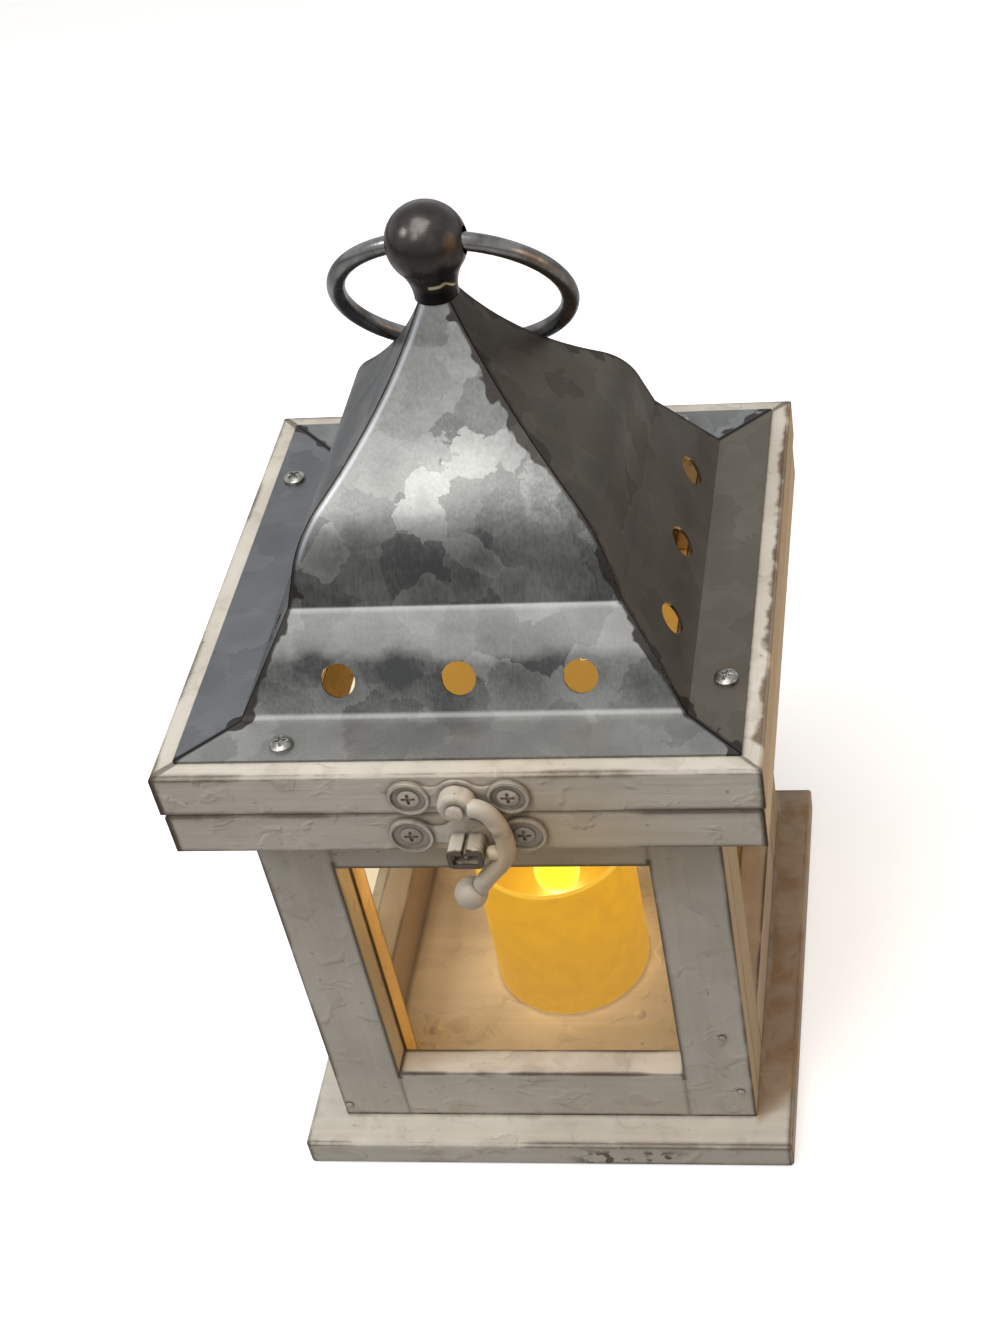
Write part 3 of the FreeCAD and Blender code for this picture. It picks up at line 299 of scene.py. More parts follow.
# The top faces of the board get a painted highlight.
base_paint = painted("base_paint", long_x, (0.59, 0.565, 0.505), dull_chalk, 0.45, 1.3, 0.5)
tree = base_paint.node_tree
shader = tree.nodes["Principled BSDF"]
whole_coat = worn_colour(shader)
place, x, y, z = axes(tree)
ragged = noise(tree, place, 90.0, 4.0)
sway = drift(tree, ragged, 0.006)
board_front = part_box("base_board")[0].y
strip_left, strip_slant, slant_start = 0.0596, 1.2, -0.140
beyond = rise(tree, reckon(tree, "ADD", x, sway), strip_left, strip_left + 0.0026)
slant = reckon(tree, "SUBTRACT", y, reckon(tree, "MULTIPLY", x, strip_slant))
behind = rise(tree, reckon(tree, "ADD", slant, sway), slant_start, slant_start + 0.006)
upper = rise(tree, z, 0.0080, 0.0094)
spotty = rise(tree, ragged.outputs["Fac"], 0.30, 0.60, 0.95, 0.62)
# Thin coat and painted shade: the brown strip ends along a slant where the case's shadow ends.
thin_and_shaded_strip = both(tree, beyond, behind, upper, spotty)
thinned_and_shaded = over(tree, thin_and_shaded_strip, whole_coat, colour(0.33, 0.215, 0.115))
on_front = rise(tree, y, board_front + 0.0008, board_front + 0.0016, 1.0, 0.0)
low_down = rise(tree, z, 0.0050, 0.0086, 1.0, 0.0)
gouge_left, gouge_right = 0.004, 0.044
stretch = both(tree, rise(tree, x, gouge_left, gouge_left + 0.010),
               rise(tree, x, gouge_right - 0.008, gouge_right, 1.0, 0.0))
broken = noise(tree, place, 210.0, 4.0)
gouge = both(tree, rise(tree, broken.outputs["Fac"], 0.52, 0.58), on_front, low_down, stretch)
tree.links.new(over(tree, gouge, thinned_and_shaded, colour(0.115, 0.100, 0.072)), shader.inputs["Base Color"])
dress(["base_board"], base_paint)

# Stiles of all four frames and the rails in front and behind: sticks of the
# glazed case, brushed with the same whitewash along their grain, with brown
# wood showing along the edges. The paint fills the joints between them.
upright = ["%s_stile_%s" % (side, hand) for side in ("front", "back") for hand in ("left", "right")]
upright += ["%s_stile_%s" % (side, end) for side in ("left", "right") for end in ("front", "back")]
# The stiles get a painted warm light on the sides that face right.
stile_paint = painted("stile_paint", long_z, (0.56, 0.525, 0.465), (0.41, 0.375, 0.32), 0.5, 1.7,
                      right_light_colour=(0.46, 0.375, 0.225))
dress(upright, stile_paint)
flat = ["%s_rail_%s" % (side, level) for side in ("front", "back") for level in ("bottom", "top")]
# The rails get a strong painted highlight on their tops.
rail_paint = painted("rail_paint", long_x, (0.58, 0.545, 0.48), (0.42, 0.38, 0.32), 0.5, 1.4, 1.0)
dress(flat, rail_paint)
low_rail, high_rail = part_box("front_rail_bottom"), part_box("front_rail_top")
for made in (stile_paint, rail_paint):
    tree = made.node_tree
    coat = next(step for step in tree.nodes if step.type == "GROUP" and step.node_tree == whitewash)
    rubbed_edge = coat.inputs["Edge"].links[0].from_socket
    place, x, y, z = axes(tree)
    off_middle = reckon(tree, "ABSOLUTE", x)
    off_joint = reckon(tree, "ABSOLUTE", reckon(tree, "SUBTRACT", off_middle, high_rail[1].x))
    by_low_rail = rise(tree, z, low_rail[1].z - 0.003, low_rail[1].z - 0.002, 1.0, 0.0)
    by_high_rail = rise(tree, z, high_rail[0].z + 0.002, high_rail[0].z + 0.003)
    beside = reckon(tree, "MAXIMUM", by_low_rail, by_high_rail)
    filled = both(tree, beside, rise(tree, off_joint, 0.0022, 0.0034, 0.8, 0.0))
    left_open = reckon(tree, "SUBTRACT", 1.0, filled)
    tree.links.new(both(tree, rubbed_edge, left_open), coat.inputs["Edge"])

# Brads of the front frame: three round nail heads, left a little proud of the
# wood and painted over with it.
brad_spots = ((-0.0592, 0.0142), (0.0572, 0.0216), (0.0540, 0.0464))
brad_radius, brad_proud, brad_squat, seat = 0.0012, 0.42, 0.92, 0.00002
front_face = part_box("front_stile_left")[0].y
heads = []
for across, up in brad_spots:
    bpy.ops.object.select_all(action="DESELECT")
    bpy.ops.mesh.primitive_uv_sphere_add(segments=28, ring_count=16, radius=brad_radius,
                                         location=(0.0, 0.0, 0.0))
    heads.append(bpy.context.object)
    bpy.ops.object.mode_set(mode="EDIT")
    bpy.ops.mesh.select_all(action="SELECT")
    bpy.ops.mesh.bisect(plane_co=(0.0, 0.0, 0.0), plane_no=(0.0, 1.0, 0.0), use_fill=True,
                        clear_outer=True)
    bpy.ops.mesh.select_all(action="SELECT")
    bpy.ops.transform.resize(value=(1.0, brad_proud, brad_squat))
    bpy.ops.transform.translate(value=(across, front_face - seat, up))
    bpy.ops.object.mode_set(mode="OBJECT")
    bpy.ops.object.shade_smooth()
bpy.ops.object.select_all(action="DESELECT")
for head in heads:
    head.select_set(True)
bpy.context.view_layer.objects.active = heads[0]
bpy.ops.object.join()
brads = bpy.context.object
brads.name = "front_brads"
bpy.ops.object.select_all(action="DESELECT")
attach(brads, "case")
brad_paint = painted("brad_paint", no_way, (0.55, 0.52, 0.46), (0.34, 0.30, 0.25), 0.6, 0.5)
brads.data.materials.append(brad_paint)

# Rails of the two side frames, which stand between the front and back ones:
# the same wood, painted along its grain and a little browner.
side_rails = ["%s_rail_%s" % (side, level)
              for side in ("left", "right") for level in ("bottom", "top")]
dress(side_rails, painted("side_rail_paint", long_y, (0.58, 0.52, 0.44), (0.42, 0.34, 0.25), 0.5, 0.9))

# Corner posts: square sticks inside the case, with the thinnest coat of all,
# so that the warm wood comes through; their paint is made bright yellow as a
# painted glow of the candle light.
posts = ["corner_post_%s_%s" % (end, side) for end in ("front", "back") for side in ("left", "right")]
dress(posts, painted("post_paint_and_glow", long_z, (0.90, 0.66, 0.30), (0.70, 0.47, 0.18), 0.7, 0.6))

# Glass panes: sheet glass in the groove between frames and posts. The glass has
# a warm cast. The back pane's dark amber is painted shade and reflection: it
# stands in for the dark surroundings and the candle's reflection seen through
# the roof vents.
PANES = {
    "front": ((0.97, 0.92, 0.82), (0.97, 0.94, 0.87)),
    "left": ((0.88, 0.79, 0.62), (0.95, 0.90, 0.80)),
    "right": ((0.95, 0.87, 0.72), (0.95, 0.90, 0.80)),
    "back": ((0.36, 0.19, 0.035), (0.93, 0.86, 0.72)),
}
for side, (tint, cast) in PANES.items():
    made, tree, shader = finish_with("glass_" + side, 0.0, Base_Color=colour(*tint),
                                     Transmission_Weight=1.0, IOR=1.16)
    through = knot(tree, "BsdfTransparent", ("Color", colour(*cast)))
    way = knot(tree, "LightPath")
    straight_on = reckon(tree, "MAXIMUM", way.outputs["Is Shadow Ray"], way.outputs["Is Diffuse Ray"])
    pane_mix = knot(tree, "MixShader", (0, straight_on), (1, shader.outputs[0]),
                    (2, through.outputs[0]))
    tree.links.new(pane_mix.outputs[0], tree.nodes["Material Output"].inputs["Surface"])
    dress(["glass_" + side], made)

# Fixed top frame and hinged lid frame: mitred strips under a thicker coat, with
# a painted cream highlight on top and painted warm light on the sides that face
# right, with brown edges and paint ridges.
frame_right_light = (0.76, 0.645, 0.445)
for part, tint in (("frame", (0.58, 0.535, 0.47)), ("lid", (0.60, 0.56, 0.495))):
    across = painted(part + "_paint_x", long_x, tint, (0.41, 0.365, 0.305), 0.42, 1.8, 0.45,
                     right_light_colour=frame_right_light)
    endlong = painted(part + "_paint_y", long_y, tint, (0.42, 0.37, 0.30), 0.42, 1.8, 0.45,
                      right_light_colour=frame_right_light)
    dress([part + "_strip_front", part + "_strip_back"], across)
    dress([part + "_strip_left", part + "_strip_right"], endlong)
    if part == "lid":
        tree = endlong.node_tree
        shader = tree.nodes["Principled BSDF"]
        whole_coat = worn_colour(shader)
        place, x, y, z = axes(tree)
        ragged = noise(tree, place, 130.0, 5.0)
        sway = drift(tree, ragged, 0.009)
        lid_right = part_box("lid_strip_right")[1].x
        outer = rise(tree, reckon(tree, "ADD", x, sway), lid_right - 0.0025, lid_right - 0.0005)
        on_top = rise(tree, facing(tree, place)[0], 0.6, 0.9, 1.0, 0.25)
        rubbed_off = both(tree, outer, on_top, 0.85)
        tree.links.new(over(tree, rubbed_off, whole_coat, colour(0.115, 0.068, 0.034)),
                       shader.inputs["Base Color"])

# Roof panels: four bent sheets of galvanised steel. The zinc has flowered in
# leafy patches and has gone dark along the hips. Bands up each panel paint its
# sheen and shade: a painted sheen over the shoulder, painted shade on the steep
# wall and near the fold, and painted highlights on the fold and the crease. The
# four sides are lit and shaded copies of one zinc.
galvanised, given, put_out = new_group(
    "galvanised",
    (("Bright Zinc", "Color", colour(0.42, 0.43, 0.43)),
     ("Dark Zinc", "Color", colour(0.08, 0.085, 0.085)),
     ("Level", "Float", 0.5), ("Flowers", "Float", 0.5)),
    (("Colour", "Color", None), ("Roughness", "Float", None), ("Height", "Float", None)))
place = knot(galvanised, "TexCoord")
frill = noise(galvanised, place, 210.0, 3.0, ("Roughness", 0.6))
frilled = ruffled(galvanised, place, frill, 0.0065)
flower = knot(galvanised, "TexVoronoi", ("Vector", frilled), ("Scale", 84.0), ("Randomness", 1.0),
              feature="F1")
large = knot(galvanised, "TexVoronoi", ("Vector", frilled), ("Scale", 46.0), ("Randomness", 1.0),
             feature="SMOOTH_F1")
petal = knot(galvanised, "SeparateColor", ("Color", flower.outputs["Color"]))
leaf = knot(galvanised, "SeparateColor", ("Color", large.outputs["Color"]))
haze = noise(galvanised, place, 60.0, 5.0, ("Roughness", 0.62))
fine = scaled(galvanised, place.outputs["Object"], (1500.0, 1500.0, 60.0))
rubbed = knot(galvanised, "TexNoise", ("Vector", fine), ("Scale", 1.0), ("Detail", 2.0),
              ("Roughness", 0.5))
bloom = reckon(galvanised, "ADD", reckon(galvanised, "MULTIPLY", petal.outputs[0], 0.50),
               reckon(galvanised, "MULTIPLY", leaf.outputs[1], 0.34))
bloom = reckon(galvanised, "SUBTRACT", bloom, 0.42)
rim = both(galvanised, rise(galvanised, flower.outputs["Distance"], 0.34, 0.62, 0.0, 0.30),
           petal.outputs[1])
bloom = reckon(galvanised, "ADD", bloom, rim)
bloom = reckon(galvanised, "ADD", bloom, drift(galvanised, haze, 0.9))
bloom = reckon(galvanised, "ADD", bloom, drift(galvanised, rubbed, 0.5))
tone = reckon(galvanised, "ADD", given["Level"], both(galvanised, bloom, given["Flowers"]))
tone = knot(galvanised, "Clamp", (0, tone)).outputs[0]
galvanised.links.new(over(galvanised, tone, given["Dark Zinc"], given["Bright Zinc"]),
                     put_out["Colour"])
gloss = reckon(galvanised, "SUBTRACT", 0.52, reckon(galvanised, "MULTIPLY", petal.outputs[1], 0.16))
galvanised.links.new(gloss, put_out["Roughness"])
galvanised.links.new(reckon(galvanised, "ADD", haze.outputs["Fac"],
                            reckon(galvanised, "MULTIPLY", petal.outputs[0], 0.12)), put_out["Height"])

lid_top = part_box("roof_panel_front")[0].z
crease_climb, ramp_climb = 0.0249, 0.09
# Levels of painted sheen and shade up each panel, from the flange to the top.
ROOF_SHEEN_AND_SHADE = {
    "front": ((0.0, 0.36), (0.0009, 0.38), (0.0012, 0.90), (0.0019, 0.80), (0.0023, 0.20),
              (0.0100, 0.07), (0.0130, 0.11), (0.0155, 0.48), (0.0235, 0.62), (0.0246, 1.0),
              (0.0253, 0.11), (0.0330, 0.09), (0.0400, 0.11), (0.0450, 0.21), (0.0530, 0.27),
              (0.0600, 0.20), (0.0700, 0.17), (0.0850, 0.43)),
    "left": ((0.0, 0.30), (0.010, 0.12), (0.024, 0.15), (0.032, 0.09), (0.046, 0.15), (0.085, 0.20)),
    "back": ((0.0, 0.34), (0.012, 0.25), (0.0236, 0.55), (0.0256, 0.15), (0.040, 0.20), (0.050, 0.65),
             (0.085, 0.42)),
    "right": ((0.0, 0.18), (0.008, 0.075), (0.024, 0.065), (0.050, 0.055), (0.085, 0.03)),
}
# Lit and shaded copies of one zinc, one for each side; the right one is painted dark and brown as in
# shade.
ZINC_LIT_AND_SHADED = {
    "front": ((0.465, 0.462, 0.445), (0.058, 0.061, 0.059), 0.42),
    "left": ((0.345, 0.357, 0.375), (0.058, 0.062, 0.066), 0.22),
    "back": ((0.42, 0.43, 0.43), (0.06, 0.063, 0.063), 0.34),
    "right": ((0.44, 0.40, 0.335), (0.052, 0.045, 0.036), 0.10),
}
for side, levels in ROOF_SHEEN_AND_SHADE.items():
    bright, dark, flowers = ZINC_LIT_AND_SHADED[side]
    made, tree, shader = finish_with("zinc_" + side, 0.42, Metallic=1.0)
    place, x, y, z = axes(tree)
    wavy = noise(tree, place, 75.0, 3.0)
    wave = drift(tree, wavy, 0.007)
    climb = reckon(tree, "SUBTRACT", z, lid_top)
    off_crease = reckon(tree, "ABSOLUTE", reckon(tree, "SUBTRACT", climb, crease_climb))
    wave = both(tree, wave, rise(tree, off_crease, 0.001, 0.006), rise(tree, climb, 0.002, 0.007))
    climb = reckon(tree, "ADD", climb, wave)
    bands = knot(tree, "ValToRGB", ("Fac", reckon(tree, "DIVIDE", climb, ramp_climb)))
    ramp = bands.color_ramp
    while len(ramp.elements) < len(levels):
        ramp.elements.new(0.5)
    for stop, (up, level) in zip(ramp.elements, levels):
        stop.position = up / ramp_climb
        stop.color = (level, level, level, 1.0)
    zinc = place_group(tree, galvanised, Bright_Zinc=colour(*bright), Dark_Zinc=colour(*dark),
                       Level=bands.outputs[0], Flowers=flowers)
    hip = reckon(tree, "SUBTRACT", reckon(tree, "ABSOLUTE", x), reckon(tree, "ABSOLUTE", y))
    crumbled = noise(tree, place, 120.0, 2.5, ("Roughness", 0.5), ("Distortion", 0.2))
    bitten = rise(tree, crumbled.outputs["Fac"], 0.46, 0.74, 0.0005, 0.0042)
    near_hip = reckon(tree, "SUBTRACT", reckon(tree, "ABSOLUTE", hip), bitten)
    if side == "front":
        whole_edge = reckon(tree, "MULTIPLY", rise(tree, x, -0.002, 0.0, 1.0, 0.0),
                            rise(tree, climb, 0.034, 0.040))
        near_hip = reckon(tree, "ADD", near_hip, reckon(tree, "MULTIPLY", whole_edge, bitten))
    seam = rise(tree, near_hip, 0.0, 0.0010, 0.9, 0.0)
    # Painted candle light: faces that look down, inside the roof, are coloured warm amber.
    inner_candle_light = rise(tree, facing(tree, place)[2], -0.30, -0.10, 1.0, 0.0)
    shade = over(tree, inner_candle_light, zinc["Colour"], colour(0.86, 0.68, 0.38))
    shade = over(tree, seam, shade, colour(0.030, 0.026, 0.023))
    # Painted highlight: a light line along the front panel's left hip.
    if side == "front":
        off_hip = reckon(tree, "ABSOLUTE", hip)
        hip_highlight = both(tree, rise(tree, off_hip, 0.0008, 0.0012),
                    rise(tree, off_hip, 0.0014, 0.0024, 1.0, 0.0), whole_edge, 0.6)
        shade = over(tree, hip_highlight, shade, colour(0.40, 0.42, 0.45))
    tree.links.new(shade, shader.inputs["Base Color"])
    tree.links.new(zinc["Roughness"], shader.inputs["Roughness"])
    dents = knot(tree, "Bump", ("Strength", 0.25), ("Distance", 0.0008), ("Height", zinc["Height"]))
    tree.links.new(dents.outputs[0], shader.inputs["Normal"])
    dress(["roof_panel_" + side], made)

# Roof screws: small zinc plated pan heads with a cross recess gone dark.
screw_steel, tree, shader = finish_with("screw_steel", 0.35, Metallic=1.0)
place = knot(tree, "TexCoord")
dull = noise(tree, place, 700.0, 3.0)
tree.links.new(over(tree, rise(tree, dull.outputs["Fac"], 0.35, 0.65), colour(0.34, 0.34, 0.32),
                    colour(0.16, 0.155, 0.14)), shader.inputs["Base Color"])
edge = place_group(tree, edge_wear_and_crevice_shade, Radius=0.0004, Amount=0.6, Break_Up=900.0)
tree.links.new(edge["Normal"], shader.inputs["Normal"])
dress(["roof_screws"], screw_steel)

# Finial ball and pull ring: steel with a dark pewter finish, smooth and a
# little smudged. The ring passes through the ball.
dark_pewter, tree, shader = finish_with("dark_pewter", 0.32, Metallic=1.0)
place = knot(tree, "TexCoord")
smudge = noise(tree, place, 140.0, 5.0, ("Roughness", 0.6))
scratch = noise(tree, place, 1500.0, 2.0)
steel = over(tree, rise(tree, smudge.outputs["Fac"], 0.35, 0.65), colour(0.062, 0.056, 0.053),
             colour(0.036, 0.032, 0.030))
tree.links.new(steel, shader.inputs["Base Color"])
tree.links.new(rise(tree, smudge.outputs["Fac"], 0.3, 0.7, 0.21, 0.34), shader.inputs["Roughness"])
pits = knot(tree, "Bump", ("Strength", 0.12), ("Distance", 0.0002), ("Height", scratch.outputs["Fac"]))
tree.links.new(pits.outputs[0], shader.inputs["Normal"])
ring_pewter = dark_pewter.copy()
ring_pewter.name = "ring_pewter"
ring_mix = ring_pewter.node_tree.nodes["Principled BSDF"].inputs["Base Color"].links[0].from_node
ring_mix.inputs[6].default_value = colour(0.195, 0.195, 0.195)
ring_mix.inputs[7].default_value = colour(0.100, 0.096, 0.092)
dress(["pull_ring"], ring_pewter)
collar_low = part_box("roof_panel_front")[1].z
x, y, z = knot(tree, "SeparateXYZ", ("Vector", place.outputs["Object"])).outputs
# Painted shade under the ball: the neck just above the roof is darkened almost to black.
shade_under_ball = rise(tree, z, collar_low + 0.0026, collar_low + 0.0050, 0.92, 0.0)
steel = over(tree, shade_under_ball, steel, colour(0.004, 0.004, 0.004))
aside = reckon(tree, "ABSOLUTE", reckon(tree, "SUBTRACT", x, 0.0028))
past = reckon(tree, "SUBTRACT", x, 0.0040)
drop = reckon(tree, "MULTIPLY", reckon(tree, "MAXIMUM", past, 0.0), 1.1)
hump = rise(tree, reckon(tree, "ABSOLUTE", past), 0.0, 0.0016, 0.0006, 0.0)
peak = reckon(tree, "ADD", collar_low + 0.0052, reckon(tree, "SUBTRACT", hump, drop))
off_peak = reckon(tree, "ABSOLUTE", reckon(tree, "SUBTRACT", z, peak))
fleck = both(tree, rise(tree, off_peak, 0.0003, 0.0007, 1.0, 0.0),
             rise(tree, aside, 0.0024, 0.0032, 1.0, 0.0), rise(tree, y, -0.003, -0.001, 1.0, 0.0))
tree.links.new(over(tree, fleck, steel, colour(0.86, 0.74, 0.50)), shader.inputs["Base Color"])
dress(["finial_ball"], dark_pewter)

# Clamp plate, nut, hinges and their pins and screws: plain steel, a little
# dull, with brown specks in the corners.
plain_steel, tree, shader = finish_with("plain_steel", 0.42, Metallic=1.0)
place = knot(tree, "TexCoord")
rust = noise(tree, place, 420.0, 4.0)
edge = place_group(tree, edge_wear_and_crevice_shade, Radius=0.0005, Amount=0.8, Break_Up=700.0)
steel_tone = over(tree, rise(tree, rust.outputs["Fac"], 0.4, 0.7), colour(0.42, 0.41, 0.39),
                  colour(0.24, 0.21, 0.18))
tree.links.new(over(tree, edge["Mask"], steel_tone, colour(0.10, 0.07, 0.05)),
               shader.inputs["Base Color"])
tree.links.new(edge["Normal"], shader.inputs["Normal"])
dress(["finial_clamp_plate", "finial_nut", "hinge_leaves_body", "hinge_leaves_lid", "hinge_pins",
       "hinge_screws_body", "hinge_screws_lid"], plain_steel)

# Latch: cast plates, hook, rivet and screws, brushed over with the same
# whitewash as the wood. The paint lies thick and lumpy, the sunk hollows are
# darker grey, and brown metal shows where it has been rubbed. The crevices get
# a painted shade, and the paint near the hook's bow a painted glow of the
# candle light.
latch_names = ["latch_plate", "latch_screws", "latch_rivet", "latch_hook", "catch_plate",
               "catch_screws"]
latch_paint, tree, shader = finish_with("latch_paint", 0.5, Specular_IOR_Level=0.5)
edge = place_group(tree, edge_wear_and_crevice_shade, Radius=0.0007, Amount=1.0, Break_Up=420.0)
coat = place_group(tree, whitewash, Paint=colour(0.63, 0.565, 0.48),
                   Thin_Paint=colour(0.33, 0.275, 0.21), Bare_Wood=colour(0.11, 0.085, 0.06),
                   Grain=no_way, Thinness=0.6, Edge=edge["Mask"], Specks=0.7)
rim_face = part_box("latch_plate")[0].y
place, x, y, z = axes(tree)
sunk = rise(tree, y, rim_face + 0.0002, rim_face + 0.0005)
sunk_steps = sunk.node.name
plate_low, plate_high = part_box("latch_plate")
hub = (plate_low.x + plate_high.x) / 2
off_hub = reckon(tree, "ABSOLUTE", reckon(tree, "SUBTRACT", x, hub))
lobes_from = 0.0074
sunk = both(tree, sunk, rise(tree, off_hub, lobes_from, lobes_from + 0.0010, 0.10, 0.75))
bow_of_hook = (0.014, -0.082, 0.142)
# Painted glow of the candle light on the paint near the hook's bow.
candle_glow_on_latch = rise(tree, span_to(tree, place, bow_of_hook), 0.005, 0.019, 0.85, 0.0)
candle_glow_on_latch = over(tree, candle_glow_on_latch, coat["Colour"], colour(0.84, 0.73, 0.53), "MULTIPLY")
hollow = over(tree, sunk, candle_glow_on_latch, colour(0.27, 0.235, 0.19))
# Painted shade in the crevices.
crevice_shade = reckon(tree, "MULTIPLY", edge["Painted Shade"], 0.6)
hollow = over(tree, crevice_shade, hollow, colour(0.070, 0.055, 0.042))
tree.links.new(hollow, shader.inputs["Base Color"])
lumps = knot(tree, "Bump", ("Strength", 0.8), ("Distance", 0.0010), ("Height", coat["Height"]),
             ("Normal", edge["Normal"]))
tree.links.new(lumps.outputs[0], shader.inputs["Normal"])
dress(latch_names, latch_paint)
keeper_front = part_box("catch_plate")[0].y
catch_paint = latch_paint.copy()
catch_paint.name = "catch_paint"
tree = catch_paint.node_tree
step_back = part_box("frame_strip_front")[0].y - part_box("lid_strip_front")[0].y
for stop in ("From Min", "From Max"):
    tree.nodes[sunk_steps].inputs[stop].default_value += step_back
shader = tree.nodes["Principled BSDF"]
whole_coat = worn_colour(shader)
place, x, y, z = axes(tree)
ragged = noise(tree, place, 500.0, 4.0)
sway = drift(tree, ragged, 0.0022)
bare = rise(tree, reckon(tree, "ADD", y, sway), keeper_front + 0.0005, keeper_front + 0.0012,
            1.0, 0.0)
tree.links.new(over(tree, bare, whole_coat, colour(0.052, 0.033, 0.020)), shader.inputs["Base Color"])
dress(["catch_plate"], catch_paint)

# Battery candle: a shell of wax coloured plastic that glows from the lamp
# inside, brightest at the lip and down the hollow at its top.
def seen_straight(tree):
    """1 on a ray from the camera, through a pane as well, else 0."""
    way = knot(tree, "LightPath").outputs
    return reckon(tree, "MAXIMUM", way["Is Camera Ray"], way["Is Transmission Ray"])


def light_up(tree, shader, tint, power):
    """The camera sees the piece itself; to all other rays it is a lamp."""
    cast = knot(tree, "Emission", ("Color", colour(*tint)), ("Strength", power))
    shown = knot(tree, "MixShader", (0, seen_straight(tree)), (1, cast.outputs[0]),
                 (2, shader.outputs[0]))
    tree.links.new(shown.outputs[0], tree.nodes["Material Output"].inputs["Surface"])


candle_low, candle_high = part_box("candle_shell")
wax, tree, shader = finish_with("candle_wax", 0.5, Specular_IOR_Level=0.15)
place, x, y, z = axes(tree)
up = rise(tree, z, candle_low.z, candle_high.z)
grain = noise(tree, place, 320.0, 3.0)
body = over(tree, rise(tree, grain.outputs["Fac"], 0.3, 0.7), colour(0.20, 0.085, 0.004),
            colour(0.16, 0.066, 0.003))
glow = over(tree, up, colour(0.53, 0.285, 0.020), colour(0.68, 0.365, 0.005))
mottle = noise(tree, place, 170.0, 5.0, ("Roughness", 0.75))
dimmed = rise(tree, mottle.outputs["Fac"], 0.38, 0.68, 0.0, 0.34)
glow = over(tree, dimmed, glow, colour(0.44, 0.230, 0.010))
poxed = noise(tree, place, 560.0, 2.0)
glints = rise(tree, poxed.outputs["Fac"], 0.58, 0.70, 0.0, 0.16)
glow = over(tree, glints, glow, colour(0.84, 0.54, 0.06))
level = scaled(tree, place.outputs["Object"], (1.0, 1.0, 0.0))
outward = knot(tree, "VectorMath", (0, level), operation="LENGTH").outputs["Value"]
hollow_wall, hollow_floor = 0.0222, candle_high.z - 0.024
dish = both(tree, rise(tree, outward, hollow_wall, hollow_wall + 0.0006, 1.0, 0.0),
            rise(tree, z, hollow_floor, hollow_floor + 0.002))
tree.links.new(over(tree, dish, body, colour(0.012, 0.005, 0.0)), shader.inputs["Base Color"])
near_lamp = rise(tree, outward, 0.006, 0.020, 1.0, 0.0)
hollow = over(tree, near_lamp, colour(0.78, 0.36, 0.002), colour(0.93, 0.50, 0.004))
glow = over(tree, dish, glow, hollow)
lip = rise(tree, z, candle_high.z - 0.0009, candle_high.z - 0.0003)
glow = over(tree, reckon(tree, "MULTIPLY", lip, 0.8), glow, colour(0.92, 0.58, 0.05))
tree.links.new(glow, shader.inputs["Emission Color"])
shader.inputs["Emission Strength"].default_value = 1.0
pores = knot(tree, "Bump", ("Strength", 0.15), ("Distance", 0.0003), ("Height", grain.outputs["Fac"]))
tree.links.new(pores.outputs[0], shader.inputs["Normal"])
light_up(tree, shader, (1.0, 0.66, 0.30), 1.9)
dress(["candle_shell"], wax)

# Lamp of the candle: a small yellow flame shape, lit from inside, with a
# white-hot spot low on its front. It lights the inside of the case.
flame_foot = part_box("candle_flame")[0].z
lamp, tree, shader = finish_with("flame_lamp", 0.3, Base_Color=colour(0.3, 0.22, 0.01))
place = knot(tree, "TexCoord")
spot_at = Vector((0.0, -0.0050, flame_foot + 0.0048))
hot = rise(tree, span_to(tree, place, spot_at), 0.0012, 0.0046, 1.0, 0.0)
shine = over(tree, hot, colour(1.0, 0.96, 0.012), colour(1.0, 1.0, 0.50))
tree.links.new(shine, shader.inputs["Emission Color"])
shader.inputs["Emission Strength"].default_value = 1.0
light_up(tree, shader, (1.0, 0.62, 0.22), 55.0)
dress(["candle_flame"], lamp)

# Candle housing, battery door and switch: cream moulded plastic.
cream, tree, shader = finish_with("candle_plastic", 0.45)
place = knot(tree, "TexCoord")
speck = noise(tree, place, 900.0, 2.0)
tree.links.new(over(tree, speck.outputs["Fac"], colour(0.72, 0.68, 0.58), colour(0.66, 0.62, 0.52)),
               shader.inputs["Base Color"])
grained = knot(tree, "Bump", ("Strength", 0.1), ("Distance", 0.0002), ("Height", speck.outputs["Fac"]))
tree.links.new(grained.outputs[0], shader.inputs["Normal"])
dress(["candle_housing", "battery_door", "candle_switch"], cream)

# Coin cell in the housing: bright steel can.
cell_steel, tree, shader = finish_with("battery_steel", 0.25, Metallic=1.0)
place = knot(tree, "TexCoord")
smear = noise(tree, place, 300.0, 3.0)
tree.links.new(over(tree, smear.outputs["Fac"], colour(0.62, 0.62, 0.61), colour(0.52, 0.52, 0.52)),
               shader.inputs["Base Color"])
dress(["candle_battery"], cell_steel)

# Floor: a plain pale sheet that runs far past the lantern. It looks white, but
# throws less light back on the lantern than it seems to.
def looked_at(tree):
    """1 on a ray from the camera or off a shiny piece, else 0."""
    way = knot(tree, "LightPath").outputs
    return reckon(tree, "MAXIMUM", seen_straight(tree), way["Is Glossy Ray"])


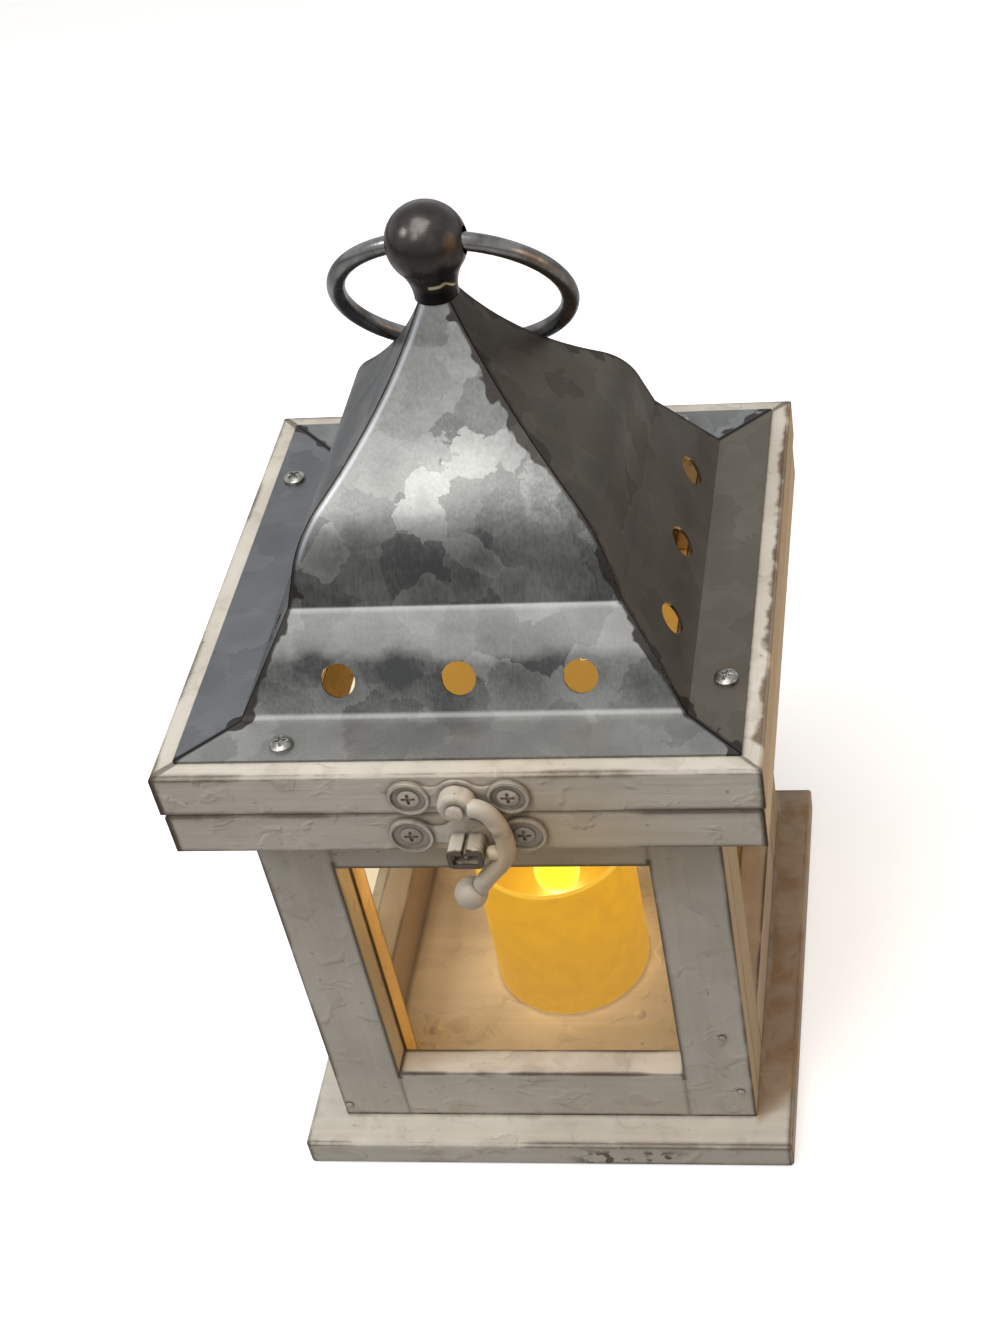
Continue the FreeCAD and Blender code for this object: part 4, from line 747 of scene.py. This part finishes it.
bpy.ops.object.select_all(action="DESELECT")
bpy.ops.mesh.primitive_plane_add(size=8.0, location=(0.0, 0.0, cad_low.z - 0.0002))
floor = bpy.context.object
floor.name = "floor"
floor_paper, tree, shader = finish_with("floor_paper", 1.0, Specular_IOR_Level=0.0)
tree.links.new(over(tree, looked_at(tree), colour(0.40, 0.395, 0.39), colour(0.98, 0.98, 0.98)),
               shader.inputs["Base Color"])
tree.links.new(over(tree, seen_straight(tree), colour(0.0, 0.0, 0.0), colour(0.50, 0.50, 0.50)),
               shader.inputs["Emission Color"])
shader.inputs["Emission Strength"].default_value = 1.0
floor.data.materials.append(floor_paper)

# Studio air: white to look at, soft and even on the object.
studio = bpy.data.worlds.new("studio")
bpy.context.scene.world = studio
studio.use_nodes = True
tree = studio.node_tree
tree.nodes.clear()
shade = over(tree, looked_at(tree), colour(0.22, 0.22, 0.22), colour(1.0, 1.0, 1.0))
air = knot(tree, "Background", ("Color", shade), ("Strength", 1.0))
end = tree.nodes.new("ShaderNodeOutputWorld")
tree.links.new(air.outputs[0], end.inputs["Surface"])

# Lamps: a high softbox from the front left, a small card that lights the
# shoulder of the roof, one at the left and a weak warm lamp from the right.
def way_out(turn, climb):
    """The way out from the lantern, by degrees round to the right and up."""
    turn, climb = math.radians(turn), math.radians(climb)
    return Vector((math.sin(turn) * math.cos(climb), -math.cos(turn) * math.cos(climb),
                   math.sin(climb)))


middle = Vector((0.0, 0.0, 0.14))
for name, turn, climb, away, size, power, tint in (
        ("high_softbox", -20.0, 75.0, 1.1, 0.75, 7.7, (1.0, 0.985, 0.95)),
        ("front_card", -22.0, 47.0, 1.0, 0.24, 1.15, (1.0, 1.0, 0.98)),
        ("left_card", -70.0, 43.0, 1.0, 0.20, 2.1, (0.93, 0.97, 1.0)),
        ("warm_fill", 82.0, 9.0, 1.0, 0.5, 2.2, (1.0, 0.56, 0.20))):
    data = bpy.data.lights.new(name, "AREA")
    data.shape = "SQUARE"
    data.size = size
    data.energy = power
    data.color = tint
    lamp_object = bpy.data.objects.new(name, data)
    bpy.context.scene.collection.objects.link(lamp_object)
    towards = way_out(turn, climb)
    lamp_object.location = middle + towards * away
    lamp_object.rotation_mode = "QUATERNION"
    lamp_object.rotation_quaternion = towards.to_track_quat("Z", "Y")

# Camera: held a little above the lantern and to the right, tipped to one side.
turn, climb, tip = 9.35, 41.84, math.radians(-7.38)
back = way_out(turn, climb)
right = Vector((math.cos(math.radians(turn)), math.sin(math.radians(turn)), 0.0))
up = back.cross(right)
tipped_right = right * math.cos(tip) + up * math.sin(tip)
tipped_up = up * math.cos(tip) - right * math.sin(tip)
eye = bpy.data.cameras.new("photo_camera")
eye.sensor_width = 36.0
eye.lens = 56.74
eye.shift_x = -0.150
camera = bpy.data.objects.new("photo_camera", eye)
bpy.context.scene.collection.objects.link(camera)
aimed_at, away = Vector((0.0512, 0.0, 0.1304)), 0.5729
stand = aimed_at + back * away
camera.matrix_world = Matrix((
    (tipped_right.x, tipped_up.x, back.x, stand.x),
    (tipped_right.y, tipped_up.y, back.y, stand.y),
    (tipped_right.z, tipped_up.z, back.z, stand.z),
    (0.0, 0.0, 0.0, 1.0)))
bpy.context.scene.camera = camera
bpy.context.scene.view_settings.view_transform = "Standard"
